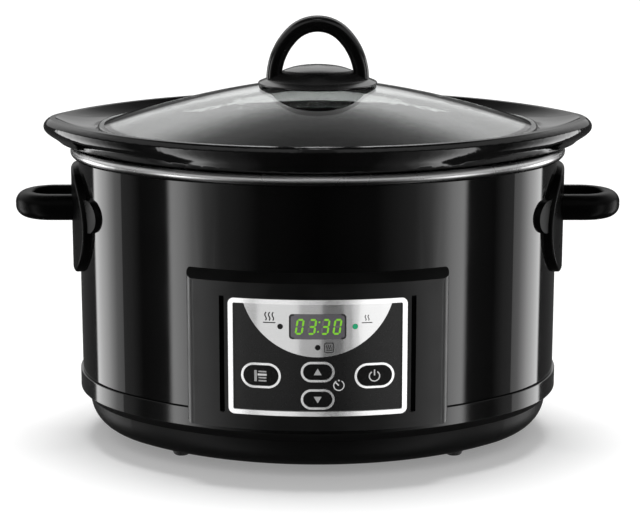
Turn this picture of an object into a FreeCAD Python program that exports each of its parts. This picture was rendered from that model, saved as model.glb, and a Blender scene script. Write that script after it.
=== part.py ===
import FreeCAD, Part
import math
import os

# Oval digital slow cooker. Millimetres, +X to the right, the front faces -Y, +Z up.
# The origin lies under the middle of the cooker, on the surface that its feet stand on.

# Body oval in plan: two flat side arcs and two end arcs, all tangent
BODY_HALF_LENGTH = 150.0
BODY_HALF_WIDTH = 118.0
BODY_END_RADIUS = 98.4
CORE_INSET = 60.0

# Feet
FOOT_RADIUS = 5.5
FOOT_HEIGHT = 8.0
FOOT_ROUNDING = 2.5
FOOT_STEM_RADIUS = 3.0
FOOT_HEAD_RADIUS = 4.2
FOOT_HEAD_HEIGHT = 2.0
FOOT_SPREAD_X = 84.6
FOOT_SPREAD_Y = 52.0

# Moulded base: a bowl, a band that overhangs it and a lip that enters the shell
BASE_WALL = 2.5
BASE_HEIGHT = 37.5
BASE_BAND_HEIGHT = 11.5
BASE_BAND_PROUD = 1.5
BASE_CHAMFER_DROP = 6.0
BASE_BOWL_INSET = 6.0
BASE_EDGE_ROUNDING = 0.4
BASE_LIP_HEIGHT = 5.0
BASE_LIP_WALL = 2.0

# Central fastening of the base
STUD_RADIUS = 3.0
STUD_PLATE_RADIUS = 14.0
STUD_PLATE_THICKNESS = 1.5
HUB_RADIUS = 15.0
HUB_HEIGHT = 13.0
HUB_RECESS_RADIUS = 10.0
HUB_RECESS_DEPTH = 8.0
WASHER_RADIUS = 8.0
WASHER_THICKNESS = 1.2
NUT_ACROSS_CORNERS = 11.5
NUT_HEIGHT = 5.0

# Outer shell of painted sheet steel
SHELL_WALL = 0.8
SHELL_HEIGHT = 138.5

# Rolled rim and heating well
BEAD_RADIUS = 3.3
BEAD_SHEET = 0.8
BEAD_OUTSET = 1.4
BEAD_OVERLAP = 0.4
WELL_SHEET = 1.0
WELL_INSET = 11.5
WELL_TAPER = 7.5
WELL_CORNER_RADIUS = 18.0
WELL_FLOOR_GAP = 3.0

# Heating band on the outside of the well
BAND_THICKNESS = 2.0
BAND_HEIGHT = 38.0
BAND_RISE = 24.0
BAND_SPLIT = 14.0
CLIP_LENGTH = 34.0
CLIP_HEIGHT = 20.0
CLIP_THICKNESS = 1.2

# Stoneware crock: hangs in the well by its rim
CROCK_DEPTH = 130.3
CROCK_WALL = 8.0
CROCK_FLOOR = 9.0
CROCK_CORNER_RADIUS = 24.0
RIM_TIP_REACH = 21.6
RIM_SIDE_REACH = 1.5
RIM_TIP_RADIUS = 35.0
RIM_HEIGHT = 15.7
RIM_CREST_WIDTH = 3.5
LID_RECESS = 7.0
LEDGE_WIDTH = 10.0
# Rim sections: share of the rim's height, shares drawn in at the tip and at the side, and of the tip radius
RIM_SECTIONS = [
    (0.0, 0.92, 2.0, 1.6),
    (0.17, 0.5, 1.0, 1.3),
    (0.37, 0.19, 0.5, 1.1),
    (0.65, 0.0, 0.0, 1.0),
    (0.88, 0.09, 0.3, 1.0),
    (1.0, 0.24, 1.1, 1.0),
]
# Lid recess: share of its depth, and share of the way from the ledge out to the crest
RECESS_SECTIONS = [(1.0, 1.0), (0.45, 0.62), (0.15, 0.3), (0.0, 0.0)]

# Domed glass lid
GLASS_THICKNESS = 4.5
LID_EDGE_THICKNESS = 3.0
LID_EDGE_WIDTH = 4.0
LID_EDGE_ROUNDING = 1.35
LID_HEIGHT = 30.7
DOME_SECTIONS = 8
DOME_FLAT_SHARE = 0.06
DOME_POWER = 1.55

# Knob: a bell-shaped base with an arched finger loop
KNOB_RADIUS = 37.5
KNOB_SKIRT_HEIGHT = 3.4
KNOB_CROWN_HEIGHT = 8.6
KNOB_WALL = 2.6
KNOB_BOSS_RADIUS = 8.0
ARCH_HALF_SPAN = 32.0
ARCH_HEIGHT = 39.1
ARCH_TOP_RADIUS = 27.0
ARCH_BAR = 9.6
ARCH_DEPTH = 13.0
ARCH_ROUNDING = 3.6
KNOB_SCREW_RADIUS = 2.4
KNOB_SCREW_HEAD_RADIUS = 6.0
KNOB_SCREW_HEAD_HEIGHT = 2.6
KNOB_SCREW_GRIP = 5.5
SEAL_RADIUS = 9.0
SEAL_THICKNESS = 1.5

# Side handles: a curved mounting plate with two side lobes and a level finger loop
HANDLE_DROP = 34.6
HANDLE_REACH = 40.4
HANDLE_LOOP_HALF_WIDTH = 24.4
HANDLE_BAR = 11.0
HANDLE_BAR_HEIGHT = 16.0
HANDLE_OUTER_ROUNDING = 7.0
HANDLE_INNER_ROUNDING = 2.0
HANDLE_PLATE_PROUD = 4.6
HANDLE_PLATE_ABOVE = 22.3
HANDLE_PLATE_BELOW = 39.2
HANDLE_PLATE_HALF_WIDTH = 46.0
HANDLE_PLATE_END_HALF_WIDTH = 26.0
HANDLE_PLATE_CROWN = 3.0
HANDLE_PLATE_CORNER = 5.0
HANDLE_PLATE_ROUNDING = 1.6
HANDLE_LOBE_PROUD = 2.6
HANDLE_LOBE_HALF_WIDTH = 58.0
HANDLE_LOBE_HEIGHT = 20.0
HANDLE_SCREW_RADIUS = 1.9
HANDLE_SCREW_LENGTH = 15.0
HANDLE_SCREW_HEAD_RADIUS = 3.6
HANDLE_SCREW_HEAD_HEIGHT = 2.2

# Control housing: bulges from the front on the same centre as the side arc
PANEL_HALF_WIDTH = 76.7
PANEL_HEIGHT = 88.0
PANEL_DROP = 7.5
PANEL_BULGE = 8.0
PANEL_TOP_RISE = 5.0
PANEL_EDGE_RADIUS = 7.0
PANEL_CORNER = 2.3
PANEL_WALL = 2.5
PANEL_WINDOW_INSET = 16.5
GROOVE_WIDTH = 2.8
GROOVE_DEPTH = 1.6
GROOVE_GAP = 2.0
HOUSING_BOSS_RADIUS = 3.6
HOUSING_BOSS_INSET = 10.5
HOUSING_SCREW_RADIUS = 1.5
HOUSING_SCREW_HEAD_RADIUS = 3.2
HOUSING_SCREW_HEAD_HEIGHT = 1.8
HOUSING_SCREW_LENGTH = 6.0

# Face of the panel, placed from the centre of its frame
FRAME_WIDTH = 104.2
FRAME_HEIGHT = 69.6
FRAME_RISE = 9.2
FRAME_LINE = 2.8
FRAME_CORNER = 3.6
FRAME_PROUD = 0.7
POCKET_DEPTH = 2.5
OVERLAY_THICKNESS = 1.9
SEGMENT_HALF_CHORD = 43.0
SEGMENT_DEPTH = 31.3
SEGMENT_THICKNESS = 0.3
WINDOW_WIDTH = 33.0
WINDOW_HEIGHT = 14.8
WINDOW_CORNER = 2.0
WINDOW_RISE = 18.8
WINDOW_THICKNESS = 2.3
WINDOW_LEDGE = 1.2
INDICATOR_RADIUS = 1.55
INDICATOR_SPREAD = 21.7
INDICATOR_RISE = 18.7
INDICATOR_LOW_RISE = 6.4
INDICATOR_LENGTH = 2.5
SIDE_BUTTON_WIDTH = 20.0
SIDE_BUTTON_HEIGHT = 11.9
SIDE_BUTTON_SPREAD = 33.0
SIDE_BUTTON_DROP = 10.9
ARROW_BUTTON_WIDTH = 16.4
ARROW_BUTTON_HEIGHT = 9.0
UP_BUTTON_DROP = 8.1
DOWN_BUTTON_DROP = 24.6
BUTTON_PROUD = 0.7
BUTTON_FLANGE = 1.2
BUTTON_FLANGE_THICKNESS = 1.6
BUTTON_TRAVEL = 1.0
BUTTON_STEM_RADIUS = 2.0
RING_LINE = 1.3
RING_PROUD = 1.0

# Boards behind the panel
SHIELD_SHEET = 0.5
SHIELD_GAP = 1.2
BOARD_THICKNESS = 1.6
BOARD_GAP = 1.2
BOARD_HALF_WIDTH = 54.0
BOARD_MARGIN = 2.5
BOARD_BOSS_RADIUS = 3.0
BOARD_BOSS_INSET = 5.0
BOARD_SCREW_RADIUS = 1.2
BOARD_SCREW_HEAD_RADIUS = 2.4
BOARD_SCREW_HEAD_HEIGHT = 0.7
BOARD_SCREW_LENGTH = 6.0
SWITCH_WIDTH = 6.0
SWITCH_HEIGHT = 2.2
PLUNGER_RADIUS = 1.6
PLUNGER_HEIGHT = 1.0
MODULE_WIDTH = 29.0
MODULE_HEIGHT = 11.0

# Supply board under the well
POWER_BOARD_LENGTH = 72.0
POWER_BOARD_WIDTH = 52.0
POWER_BOARD_CENTRE_X = -62.0
POWER_BOARD_RISE = 9.0
STANDOFF_RADIUS = 3.4
STANDOFF_INSET = 4.5
POWER_SCREW_RADIUS = 1.3
POWER_SCREW_HEAD_RADIUS = 2.6
POWER_SCREW_HEAD_HEIGHT = 1.8
POWER_SCREW_LENGTH = 7.0
RELAY_LENGTH = 19.0
RELAY_WIDTH = 15.0
RELAY_HEIGHT = 15.5
RELAY_SHIFT_X = -18.0
RELAY_SHIFT_Y = 8.0
CAPACITOR_RADIUS = 5.0
CAPACITOR_HEIGHT = 14.0
CAPACITOR_SHIFT_X = 14.0
CAPACITOR_SHIFT_Y = -10.0

# Safety cut-out clamped under the well
FUSE_RADIUS = 2.2
FUSE_LENGTH = 13.0
FUSE_CENTRE_X = 45.0
FUSE_STRAP_WIDTH = 8.0
FUSE_STRAP_SHEET = 0.8
FUSE_TAB = 7.0

# Mains lead inlet in the back of the base
INLET_FLANGE_RADIUS = 5.4
INLET_FLANGE_THICKNESS = 1.6
INLET_NOSE_RADIUS = 4.6
INLET_REACH = 6.4
INLET_SLEEVE_RADIUS = 4.2
INLET_BORE_RADIUS = 3.3
INLET_COLLAR_RADIUS = 5.2
INLET_COLLAR_THICKNESS = 1.8

# Clearances
FIT_CLEARANCE = 0.1
SEAM_GAP = 0.3
REST_GAP = 0.3
CROCK_CLEARANCE = 1.5
LID_CLEARANCE = 1.6
BUTTON_CLEARANCE = 0.3

# Heights and insets that follow from the sizes above
BASE_TOP = FOOT_HEIGHT + BASE_HEIGHT
BASE_FLOOR = FOOT_HEIGHT + BASE_WALL
SHELL_BOTTOM = BASE_TOP + SEAM_GAP
SHELL_TOP = SHELL_BOTTOM + SHELL_HEIGHT
BEAD_CENTRE = SHELL_TOP + BEAD_OVERLAP
RIM_SEAT = BEAD_CENTRE + BEAD_RADIUS
CROCK_SEAT = RIM_SEAT + REST_GAP
CROCK_CREST = CROCK_SEAT + RIM_HEIGHT
CROCK_BOTTOM = CROCK_SEAT - CROCK_DEPTH
LID_LEDGE = CROCK_CREST - LID_RECESS
LID_BOTTOM = LID_LEDGE + REST_GAP
LID_APEX = LID_BOTTOM + LID_HEIGHT
WELL_FLOOR = CROCK_BOTTOM - WELL_FLOOR_GAP
WELL_UNDERSIDE = WELL_FLOOR - WELL_SHEET
WELL_SLOPE = WELL_TAPER / (RIM_SEAT - WELL_FLOOR)
CROCK_INSET = WELL_INSET + CROCK_CLEARANCE
LEDGE_INSET = CROCK_INSET + CROCK_WALL - LEDGE_WIDTH
LID_INSET = LEDGE_INSET + LID_CLEARANCE
HANDLE_LEVEL = SHELL_TOP - HANDLE_DROP
PANEL_BOTTOM = BASE_TOP - PANEL_DROP
PANEL_TOP = PANEL_BOTTOM + PANEL_HEIGHT
FRAME_CENTRE = PANEL_BOTTOM + FRAME_RISE + FRAME_HEIGHT / 2
POWER_BOARD_BOTTOM = BASE_FLOOR + POWER_BOARD_RISE

X_AXIS = FreeCAD.Vector(1, 0, 0)
Y_AXIS = FreeCAD.Vector(0, 1, 0)
Z_AXIS = FreeCAD.Vector(0, 0, 1)
TINY = 1e-5


# Outlines: closed paths of lines and arcs

def rounded_path(corners):
    """Segments of a closed path; a corner's third value is its fillet radius."""
    count = len(corners)
    entries = []
    for i in range(count):
        before = corners[i - 1]
        corner = corners[i]
        after = corners[(i + 1) % count]
        radius = corner[2] if len(corner) > 2 else 0.0
        if radius <= 0.0:
            entries.append((corner[:2], None, corner[:2]))
            continue
        to_before = (before[0] - corner[0], before[1] - corner[1])
        to_after = (after[0] - corner[0], after[1] - corner[1])
        length_before = math.hypot(*to_before)
        length_after = math.hypot(*to_after)
        unit_before = (to_before[0] / length_before, to_before[1] / length_before)
        unit_after = (to_after[0] / length_after, to_after[1] / length_after)
        cosine = unit_before[0] * unit_after[0] + unit_before[1] * unit_after[1]
        half_angle = math.acos(max(-1.0, min(1.0, cosine))) / 2
        reach = radius / math.tan(half_angle)
        middle = (unit_before[0] + unit_after[0], unit_before[1] + unit_after[1])
        middle_length = math.hypot(*middle)
        depth = (radius / math.sin(half_angle) - radius) / middle_length
        start = (corner[0] + unit_before[0] * reach, corner[1] + unit_before[1] * reach)
        bulge = (corner[0] + middle[0] * depth, corner[1] + middle[1] * depth)
        end = (corner[0] + unit_after[0] * reach, corner[1] + unit_after[1] * reach)
        entries.append((start, bulge, end))
    segments = []
    for i in range(count):
        start, bulge, end = entries[i]
        if bulge:
            segments.append((start, bulge, end))
        following = entries[(i + 1) % count][0]
        if math.dist(end, following) > TINY:
            segments.append((end, None, following))
    return segments


def path_wire(segments, place):
    """Wire of the segments, with each 2-D point put into space by place."""
    edges = []
    for start, bulge, end in segments:
        if bulge is None:
            edges.append(Part.LineSegment(place(start), place(end)).toShape())
        else:
            edges.append(Part.Arc(place(start), place(bulge), place(end)).toShape())
    return Part.Wire(edges)


def rounded_face(corners, place):
    return Part.Face(path_wire(rounded_path(corners), place))


def box_corners(centre_u, centre_v, width, height, radius=0.0):
    left = centre_u - width / 2
    right = centre_u + width / 2
    low = centre_v - height / 2
    high = centre_v + height / 2
    return [(left, low, radius), (right, low, radius), (right, high, radius), (left, high, radius)]


def turned(profile):
    """Solid of revolution about Z from a closed profile of (radius, z) corners."""
    face = rounded_face(profile, lambda p: FreeCAD.Vector(p[0], 0, p[1]))
    return face.revolve(FreeCAD.Vector(0, 0, 0), Z_AXIS, 360)


def rod(radius, start, end):
    """Round rod between two points."""
    return Part.makeCylinder(radius, start.distanceToPoint(end), start, end - start)


def screw(shank, length, head, head_height):
    """Pan-head screw along +Z, with the underside of its head at the origin."""
    bevel = head_height / 2
    return turned(
        [
            (0.0, -head_height),
            (head - bevel, -head_height),
            (head, -bevel),
            (head, 0.0),
            (shank, 0.0),
            (shank, length),
            (0.0, length),
        ]
    )


def joined(shapes):
    return shapes[0].fuse(shapes[1:]).removeSplitter()


# Ovals of four tangent arcs

def oval_arcs(half_length, half_width, end_radius):
    """The four arcs as (centre x, centre y, radius, start angle, end angle)."""
    end_centre = half_length - end_radius
    side_radius = (end_centre ** 2 + half_width ** 2 - end_radius ** 2) / (2 * (half_width - end_radius))
    side_centre = side_radius - half_width
    turn = math.atan2(end_centre, side_centre)
    quarter = math.pi / 2
    return [
        (0.0, side_centre, side_radius, -quarter - turn, -quarter + turn),
        (end_centre, 0.0, end_radius, -quarter + turn, quarter - turn),
        (0.0, -side_centre, side_radius, quarter - turn, quarter + turn),
        (-end_centre, 0.0, end_radius, quarter + turn, 3 * quarter - turn),
    ]


BODY_ARCS = oval_arcs(BODY_HALF_LENGTH, BODY_HALF_WIDTH, BODY_END_RADIUS)
SIDE_CENTRE = BODY_ARCS[0][1]
SIDE_RADIUS = BODY_ARCS[0][2]


def oval_wire(arcs, z, offset=0.0):
    edges = []
    for centre_x, centre_y, radius, start, end in arcs:
        circle = Part.Circle(FreeCAD.Vector(centre_x, centre_y, z), Z_AXIS, radius + offset)
        edges.append(Part.ArcOfCircle(circle, start, end).toShape())
    return Part.Wire(edges)


def lens_wire(z, half_length, half_width, end_radius):
    return oval_wire(oval_arcs(half_length, half_width, end_radius), z)


def oval_plate(offset, low, high):
    """Upright oval slab whose edge lies at the offset from the body oval."""
    face = Part.Face(oval_wire(BODY_ARCS, low, offset))
    return face.extrude(FreeCAD.Vector(0, 0, high - low))


def oval_ring(profile):
    """Ring that carries a closed (offset, z) profile round the body oval."""
    pieces = []
    for centre_x, centre_y, radius, start, end in BODY_ARCS:
        across = FreeCAD.Vector(math.cos(start), math.sin(start), 0)
        centre = FreeCAD.Vector(centre_x, centre_y, 0)

        def place(point):
            return centre + across * (radius + point[0]) + Z_AXIS * point[1]

        face = rounded_face(profile, place)
        pieces.append(face.revolve(centre, Z_AXIS, math.degrees(end - start)))
    return joined(pieces)


def oval_dish(profile, floor_low, floor_high):
    """Ring with a floor: the profile ends at the core inset on both floor faces."""
    core = oval_plate(-CORE_INSET, floor_low, floor_high)
    return joined([oval_ring(profile), core])


def well_outer_inset(z):
    """Inset of the well's outer face at a height: the wall leans in towards the floor."""
    return WELL_INSET - WELL_SHEET + WELL_SLOPE * (RIM_SEAT - z)


# Panel layers: outlines in (x, z) carried onto cylinders about the side arc's centre

def panel_prism(corners, back=-BODY_HALF_WIDTH / 2):
    front = -(BODY_HALF_WIDTH + 2 * PANEL_BULGE)
    face = rounded_face(corners, lambda p: FreeCAD.Vector(p[0], front, p[1]))
    return face.extrude(FreeCAD.Vector(0, back - front, 0))


def panel_tube(inner, outer):
    base = FreeCAD.Vector(0, SIDE_CENTRE, 0)
    height = LID_APEX
    return Part.makeCylinder(outer, height, base).cut(Part.makeCylinder(inner, height, base))


def panel_slab(corners, inner, outer):
    return panel_prism(corners).common(panel_tube(inner, outer))


def panel_depth(radius, x):
    """Y of the front side of a panel cylinder at a given x."""
    return SIDE_CENTRE - math.sqrt(radius ** 2 - x ** 2)


FACE_RADIUS = SIDE_RADIUS + PANEL_BULGE
POCKET_RADIUS = FACE_RADIUS - POCKET_DEPTH
OVERLAY_RADIUS = POCKET_RADIUS + OVERLAY_THICKNESS
POCKET_BACK_RADIUS = POCKET_RADIUS - PANEL_WALL

BUTTONS = {
    "menu": (-SIDE_BUTTON_SPREAD, -SIDE_BUTTON_DROP, SIDE_BUTTON_WIDTH, SIDE_BUTTON_HEIGHT),
    "up": (0.0, -UP_BUTTON_DROP, ARROW_BUTTON_WIDTH, ARROW_BUTTON_HEIGHT),
    "down": (0.0, -DOWN_BUTTON_DROP, ARROW_BUTTON_WIDTH, ARROW_BUTTON_HEIGHT),
    "power": (SIDE_BUTTON_SPREAD, -SIDE_BUTTON_DROP, SIDE_BUTTON_WIDTH, SIDE_BUTTON_HEIGHT),
}

INDICATORS = [
    (-INDICATOR_SPREAD, INDICATOR_RISE),
    (INDICATOR_SPREAD, INDICATOR_RISE),
    (0.0, INDICATOR_LOW_RISE),
]


def frame_outline(inset=0.0):
    radius = max(FRAME_CORNER - inset, FRAME_CORNER / 4)
    return box_corners(0, FRAME_CENTRE, FRAME_WIDTH - 2 * inset, FRAME_HEIGHT - 2 * inset, radius)


def window_outline(inset=0.0):
    width = WINDOW_WIDTH - 2 * inset
    height = WINDOW_HEIGHT - 2 * inset
    return box_corners(0, FRAME_CENTRE + WINDOW_RISE, width, height, WINDOW_CORNER)


def button_outline(name, grow=0.0):
    x, rise, width, height = BUTTONS[name]
    tall = height + 2 * grow
    return box_corners(x, FRAME_CENTRE + rise, width + 2 * grow, tall, tall / 2)


def indicator_outline(place, grow=0.0):
    size = 2 * (INDICATOR_RADIUS + grow)
    return box_corners(place[0], FRAME_CENTRE + place[1], size, size, size / 2)


# The board stack stands in front of the heating band, behind the panel
BOARD_LOW = SHELL_BOTTOM + BASE_LIP_HEIGHT + BOARD_MARGIN
BOARD_HIGH = FRAME_CENTRE + FRAME_HEIGHT / 2
SHIELD_BACK = -(BODY_HALF_WIDTH - well_outer_inset(BOARD_HIGH) + BAND_THICKNESS + SHIELD_GAP)
SHIELD_FRONT = SHIELD_BACK - SHIELD_SHEET
BOARD_BACK = SHIELD_FRONT - BOARD_GAP
BOARD_FRONT = BOARD_BACK - BOARD_THICKNESS
BOARD_BOSSES = [
    (side * (BOARD_HALF_WIDTH - BOARD_BOSS_INSET), height)
    for side in (-1, 1)
    for height in (BOARD_LOW + BOARD_BOSS_INSET, BOARD_HIGH - BOARD_BOSS_INSET)
]
HOUSING_BOSSES = [
    (side * (PANEL_HALF_WIDTH - HOUSING_BOSS_INSET), height)
    for side in (-1, 1)
    for height in (PANEL_BOTTOM + 2 * HOUSING_BOSS_INSET, PANEL_TOP - HOUSING_BOSS_INSET)
]


def about_panel_axis(shape, x):
    """Turn a shape made at x = 0 round the panel's axis until it stands at x on the shell."""
    angle = math.degrees(math.asin(x / SIDE_RADIUS))
    turned_shape = shape.copy()
    turned_shape.rotate(FreeCAD.Vector(0, SIDE_CENTRE, 0), Z_AXIS, angle)
    return turned_shape


# Lift-off pieces

def crock_rim():
    """Lens-shaped rim, thickest at mid height, whose two tips reach out as lifting ears."""
    tip_run = RIM_TIP_REACH - BEAD_OUTSET - BEAD_RADIUS
    wires = []
    for rise, tip_share, side_share, radius_share in RIM_SECTIONS:
        half_length = BODY_HALF_LENGTH + RIM_TIP_REACH - tip_run * tip_share
        half_width = BODY_HALF_WIDTH + RIM_SIDE_REACH * (1.0 - side_share)
        z = CROCK_SEAT + RIM_HEIGHT * rise
        wires.append(lens_wire(z, half_length, half_width, RIM_TIP_RADIUS * radius_share))
    crest_radius = RIM_TIP_RADIUS - 2 * RIM_CREST_WIDTH
    crest = (half_length - RIM_CREST_WIDTH, half_width - RIM_CREST_WIDTH, crest_radius)
    ledge = (BODY_HALF_LENGTH - LEDGE_INSET, BODY_HALF_WIDTH - LEDGE_INSET, BODY_END_RADIUS - LEDGE_INSET)
    recess_wires = []
    for rise, share in RECESS_SECTIONS:
        sizes = [low + (high - low) * share for low, high in zip(ledge, crest)]
        recess_wires.append(lens_wire(LID_LEDGE + LID_RECESS * rise, *sizes))
    return Part.makeLoft(wires, True), Part.makeLoft(recess_wires, True)


def crock():
    slope = WELL_TAPER / CROCK_DEPTH
    wall = oval_dish(
        [
            (-CORE_INSET, CROCK_BOTTOM),
            (-CROCK_INSET - WELL_TAPER, CROCK_BOTTOM, CROCK_CORNER_RADIUS),
            (-CROCK_INSET, CROCK_SEAT),
            (-CORE_INSET, CROCK_SEAT),
        ],
        CROCK_BOTTOM,
        CROCK_SEAT,
    )
    inner_floor = CROCK_BOTTOM + CROCK_FLOOR
    inner_inset = CROCK_INSET + CROCK_WALL
    inner_foot = inner_inset + slope * (CROCK_SEAT - inner_floor)
    inner_mouth = inner_inset - slope * (CROCK_CREST - CROCK_SEAT)
    cavity = oval_dish(
        [
            (-CORE_INSET, inner_floor),
            (-inner_foot, inner_floor, CROCK_CORNER_RADIUS - CROCK_WALL),
            (-inner_mouth, CROCK_CREST),
            (-CORE_INSET, CROCK_CREST),
        ],
        inner_floor,
        CROCK_CREST,
    )
    rim, recess = crock_rim()
    return joined([wall, rim]).cut([recess, cavity])


def dome(apex, base):
    """Solid under a domed oval: scaled ovals whose height falls with a power of the scale."""
    half_length = BODY_HALF_LENGTH - LID_INSET
    half_width = BODY_HALF_WIDTH - LID_INSET
    end_radius = BODY_END_RADIUS - LID_INSET
    largest = ((apex - base) / dome_sag()) ** (1 / DOME_POWER)
    wires = []
    for i in range(DOME_SECTIONS):
        scale = largest + (DOME_FLAT_SHARE - largest) * i / (DOME_SECTIONS - 1)
        z = apex - dome_sag() * scale ** DOME_POWER
        wires.append(lens_wire(z, half_length * scale, half_width * scale, end_radius * scale))
    return Part.makeLoft(wires, True)


def dome_sag():
    """Fall of the dome at full scale, so that it meets the edge's top face."""
    reach = 1.0 - LID_EDGE_WIDTH / (BODY_HALF_LENGTH - LID_INSET)
    return (LID_APEX - LID_BOTTOM - LID_EDGE_THICKNESS) / reach ** DOME_POWER


def lid_glass():
    edge_top = LID_BOTTOM + LID_EDGE_THICKNESS
    edge = oval_dish(
        [
            (-CORE_INSET, LID_BOTTOM),
            (-LID_INSET, LID_BOTTOM, LID_EDGE_ROUNDING),
            (-LID_INSET, edge_top, LID_EDGE_ROUNDING),
            (-CORE_INSET, edge_top),
        ],
        LID_BOTTOM,
        edge_top,
    )
    outer = dome(LID_APEX, edge_top)
    inner = dome(LID_APEX - GLASS_THICKNESS, LID_BOTTOM)
    hole_radius = KNOB_SCREW_RADIUS + FIT_CLEARANCE
    hole = rod(hole_radius, FreeCAD.Vector(0, 0, LID_BOTTOM), FreeCAD.Vector(0, 0, 2 * LID_APEX))
    return joined([edge, outer]).cut([inner, hole])


def knob_arch():
    """Finger loop: the rounded section of its bar turned round each arc of the upper half of an oval."""
    side, top = oval_arcs(ARCH_HEIGHT, ARCH_HALF_SPAN, ARCH_TOP_RADIUS)[:2]
    turn = math.degrees(top[4])
    pieces = []
    for centre_x, centre_z, radius, start, sweep in (
        (0.0, top[0], top[2], -turn, 2 * turn),
        (side[1], 0.0, side[2], -90.0, 90.0 - turn),
        (-side[1], 0.0, side[2], turn, 90.0 - turn),
    ):
        centre = FreeCAD.Vector(centre_x, 0, LID_APEX + centre_z)
        section = rounded_face(
            box_corners(radius - ARCH_BAR / 2, 0, ARCH_BAR, ARCH_DEPTH, ARCH_ROUNDING),
            lambda p: centre + FreeCAD.Vector(0, p[1], p[0]),
        )
        section.rotate(centre, Y_AXIS, start)
        pieces.append(section.revolve(centre, Y_AXIS, sweep))
    return joined(pieces)


def lid_knob():
    inner_radius = KNOB_RADIUS - KNOB_WALL
    reach = inner_radius / (BODY_HALF_LENGTH - LID_INSET)
    skirt = LID_APEX - dome_sag() * reach ** DOME_POWER + REST_GAP
    shoulder = skirt + KNOB_SKIRT_HEIGHT
    crown = LID_APEX + KNOB_CROWN_HEIGHT
    bell = turned(
        [
            (0.0, skirt),
            (KNOB_RADIUS - KNOB_WALL / 3, skirt, KNOB_WALL / 4),
            (KNOB_RADIUS, skirt + KNOB_SKIRT_HEIGHT / 3, KNOB_WALL / 4),
            (ARCH_HALF_SPAN, shoulder, KNOB_RADIUS / 2),
            (ARCH_HALF_SPAN / 2, crown - KNOB_WALL / 3, KNOB_RADIUS),
            (0.0, crown),
        ]
    )
    hollow = turned(
        [
            (0.0, skirt - KNOB_WALL),
            (inner_radius, skirt - KNOB_WALL),
            (inner_radius, skirt + KNOB_WALL / 2, KNOB_WALL / 2),
            (KNOB_BOSS_RADIUS, crown - 2 * KNOB_WALL),
            (KNOB_BOSS_RADIUS, LID_APEX + FIT_CLEARANCE),
            (0.0, LID_APEX + FIT_CLEARANCE),
        ]
    )
    above = Part.makeBox(
        4 * ARCH_HALF_SPAN,
        2 * ARCH_DEPTH,
        2 * ARCH_HEIGHT,
        FreeCAD.Vector(-2 * ARCH_HALF_SPAN, -ARCH_DEPTH, skirt + KNOB_WALL / 2),
    )
    arch = knob_arch().common(above)
    # Each side is joined by itself, so that a leg meets the shoulder at any length of lid
    sides = []
    for corner_x in (-2 * KNOB_RADIUS, 0.0):
        half = Part.makeBox(
            2 * KNOB_RADIUS,
            4 * KNOB_RADIUS,
            4 * ARCH_HEIGHT,
            FreeCAD.Vector(corner_x, -2 * KNOB_RADIUS, LID_BOTTOM),
        )
        sides.append(bell.common(half).fuse(arch.common(half)))
    knob = joined(sides)
    pilot_end = FreeCAD.Vector(0, 0, LID_APEX + KNOB_SCREW_GRIP)
    return knob.cut([hollow, rod(KNOB_SCREW_RADIUS, FreeCAD.Vector(0, 0, LID_APEX), pilot_end)])


def seal_top():
    """Level where the seal's rim touches the underside of the dome."""
    fall = dome_sag() * (SEAL_RADIUS / (BODY_HALF_WIDTH - LID_INSET)) ** DOME_POWER
    return LID_APEX - GLASS_THICKNESS - fall - FIT_CLEARANCE


def knob_seal():
    top = seal_top()
    bore = KNOB_SCREW_RADIUS + FIT_CLEARANCE
    return turned(
        [
            (bore, top - SEAL_THICKNESS),
            (SEAL_RADIUS, top - SEAL_THICKNESS),
            (SEAL_RADIUS, top),
            (bore, top),
        ]
    )


def knob_screw():
    seat = seal_top() - SEAL_THICKNESS
    length = LID_APEX + KNOB_SCREW_GRIP - FIT_CLEARANCE - seat
    shank = KNOB_SCREW_RADIUS - FIT_CLEARANCE
    return screw(shank, length, KNOB_SCREW_HEAD_RADIUS, KNOB_SCREW_HEAD_HEIGHT).translated(Z_AXIS * seat)


# Heating base

def outer_shell():
    wall = oval_ring(
        [(-SHELL_WALL, SHELL_BOTTOM), (0.0, SHELL_BOTTOM), (0.0, SHELL_TOP), (-SHELL_WALL, SHELL_TOP)]
    )
    half_width = PANEL_HALF_WIDTH - PANEL_WINDOW_INSET
    low = BOARD_LOW - BOARD_MARGIN / 2
    high = BOARD_HIGH + BOARD_MARGIN
    window = panel_prism(box_corners(0, (low + high) / 2, 2 * half_width, high - low, PANEL_EDGE_RADIUS))
    cuts = [window]
    for x, z in HOUSING_BOSSES:
        hole = rod(
            HOUSING_SCREW_RADIUS + FIT_CLEARANCE,
            FreeCAD.Vector(0, -BODY_HALF_WIDTH - PANEL_BULGE, z),
            FreeCAD.Vector(0, -BODY_HALF_WIDTH + WELL_INSET, z),
        )
        cuts.append(about_panel_axis(hole, x))
    for side in (-1, 1):
        for y in handle_screw_rows():
            start = FreeCAD.Vector(side * (BODY_HALF_LENGTH - WELL_INSET), y, HANDLE_LEVEL)
            end = FreeCAD.Vector(side * (BODY_HALF_LENGTH + WELL_INSET), y, HANDLE_LEVEL)
            cuts.append(rod(HANDLE_SCREW_RADIUS + FIT_CLEARANCE, start, end))
    return wall.cut(cuts)


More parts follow.
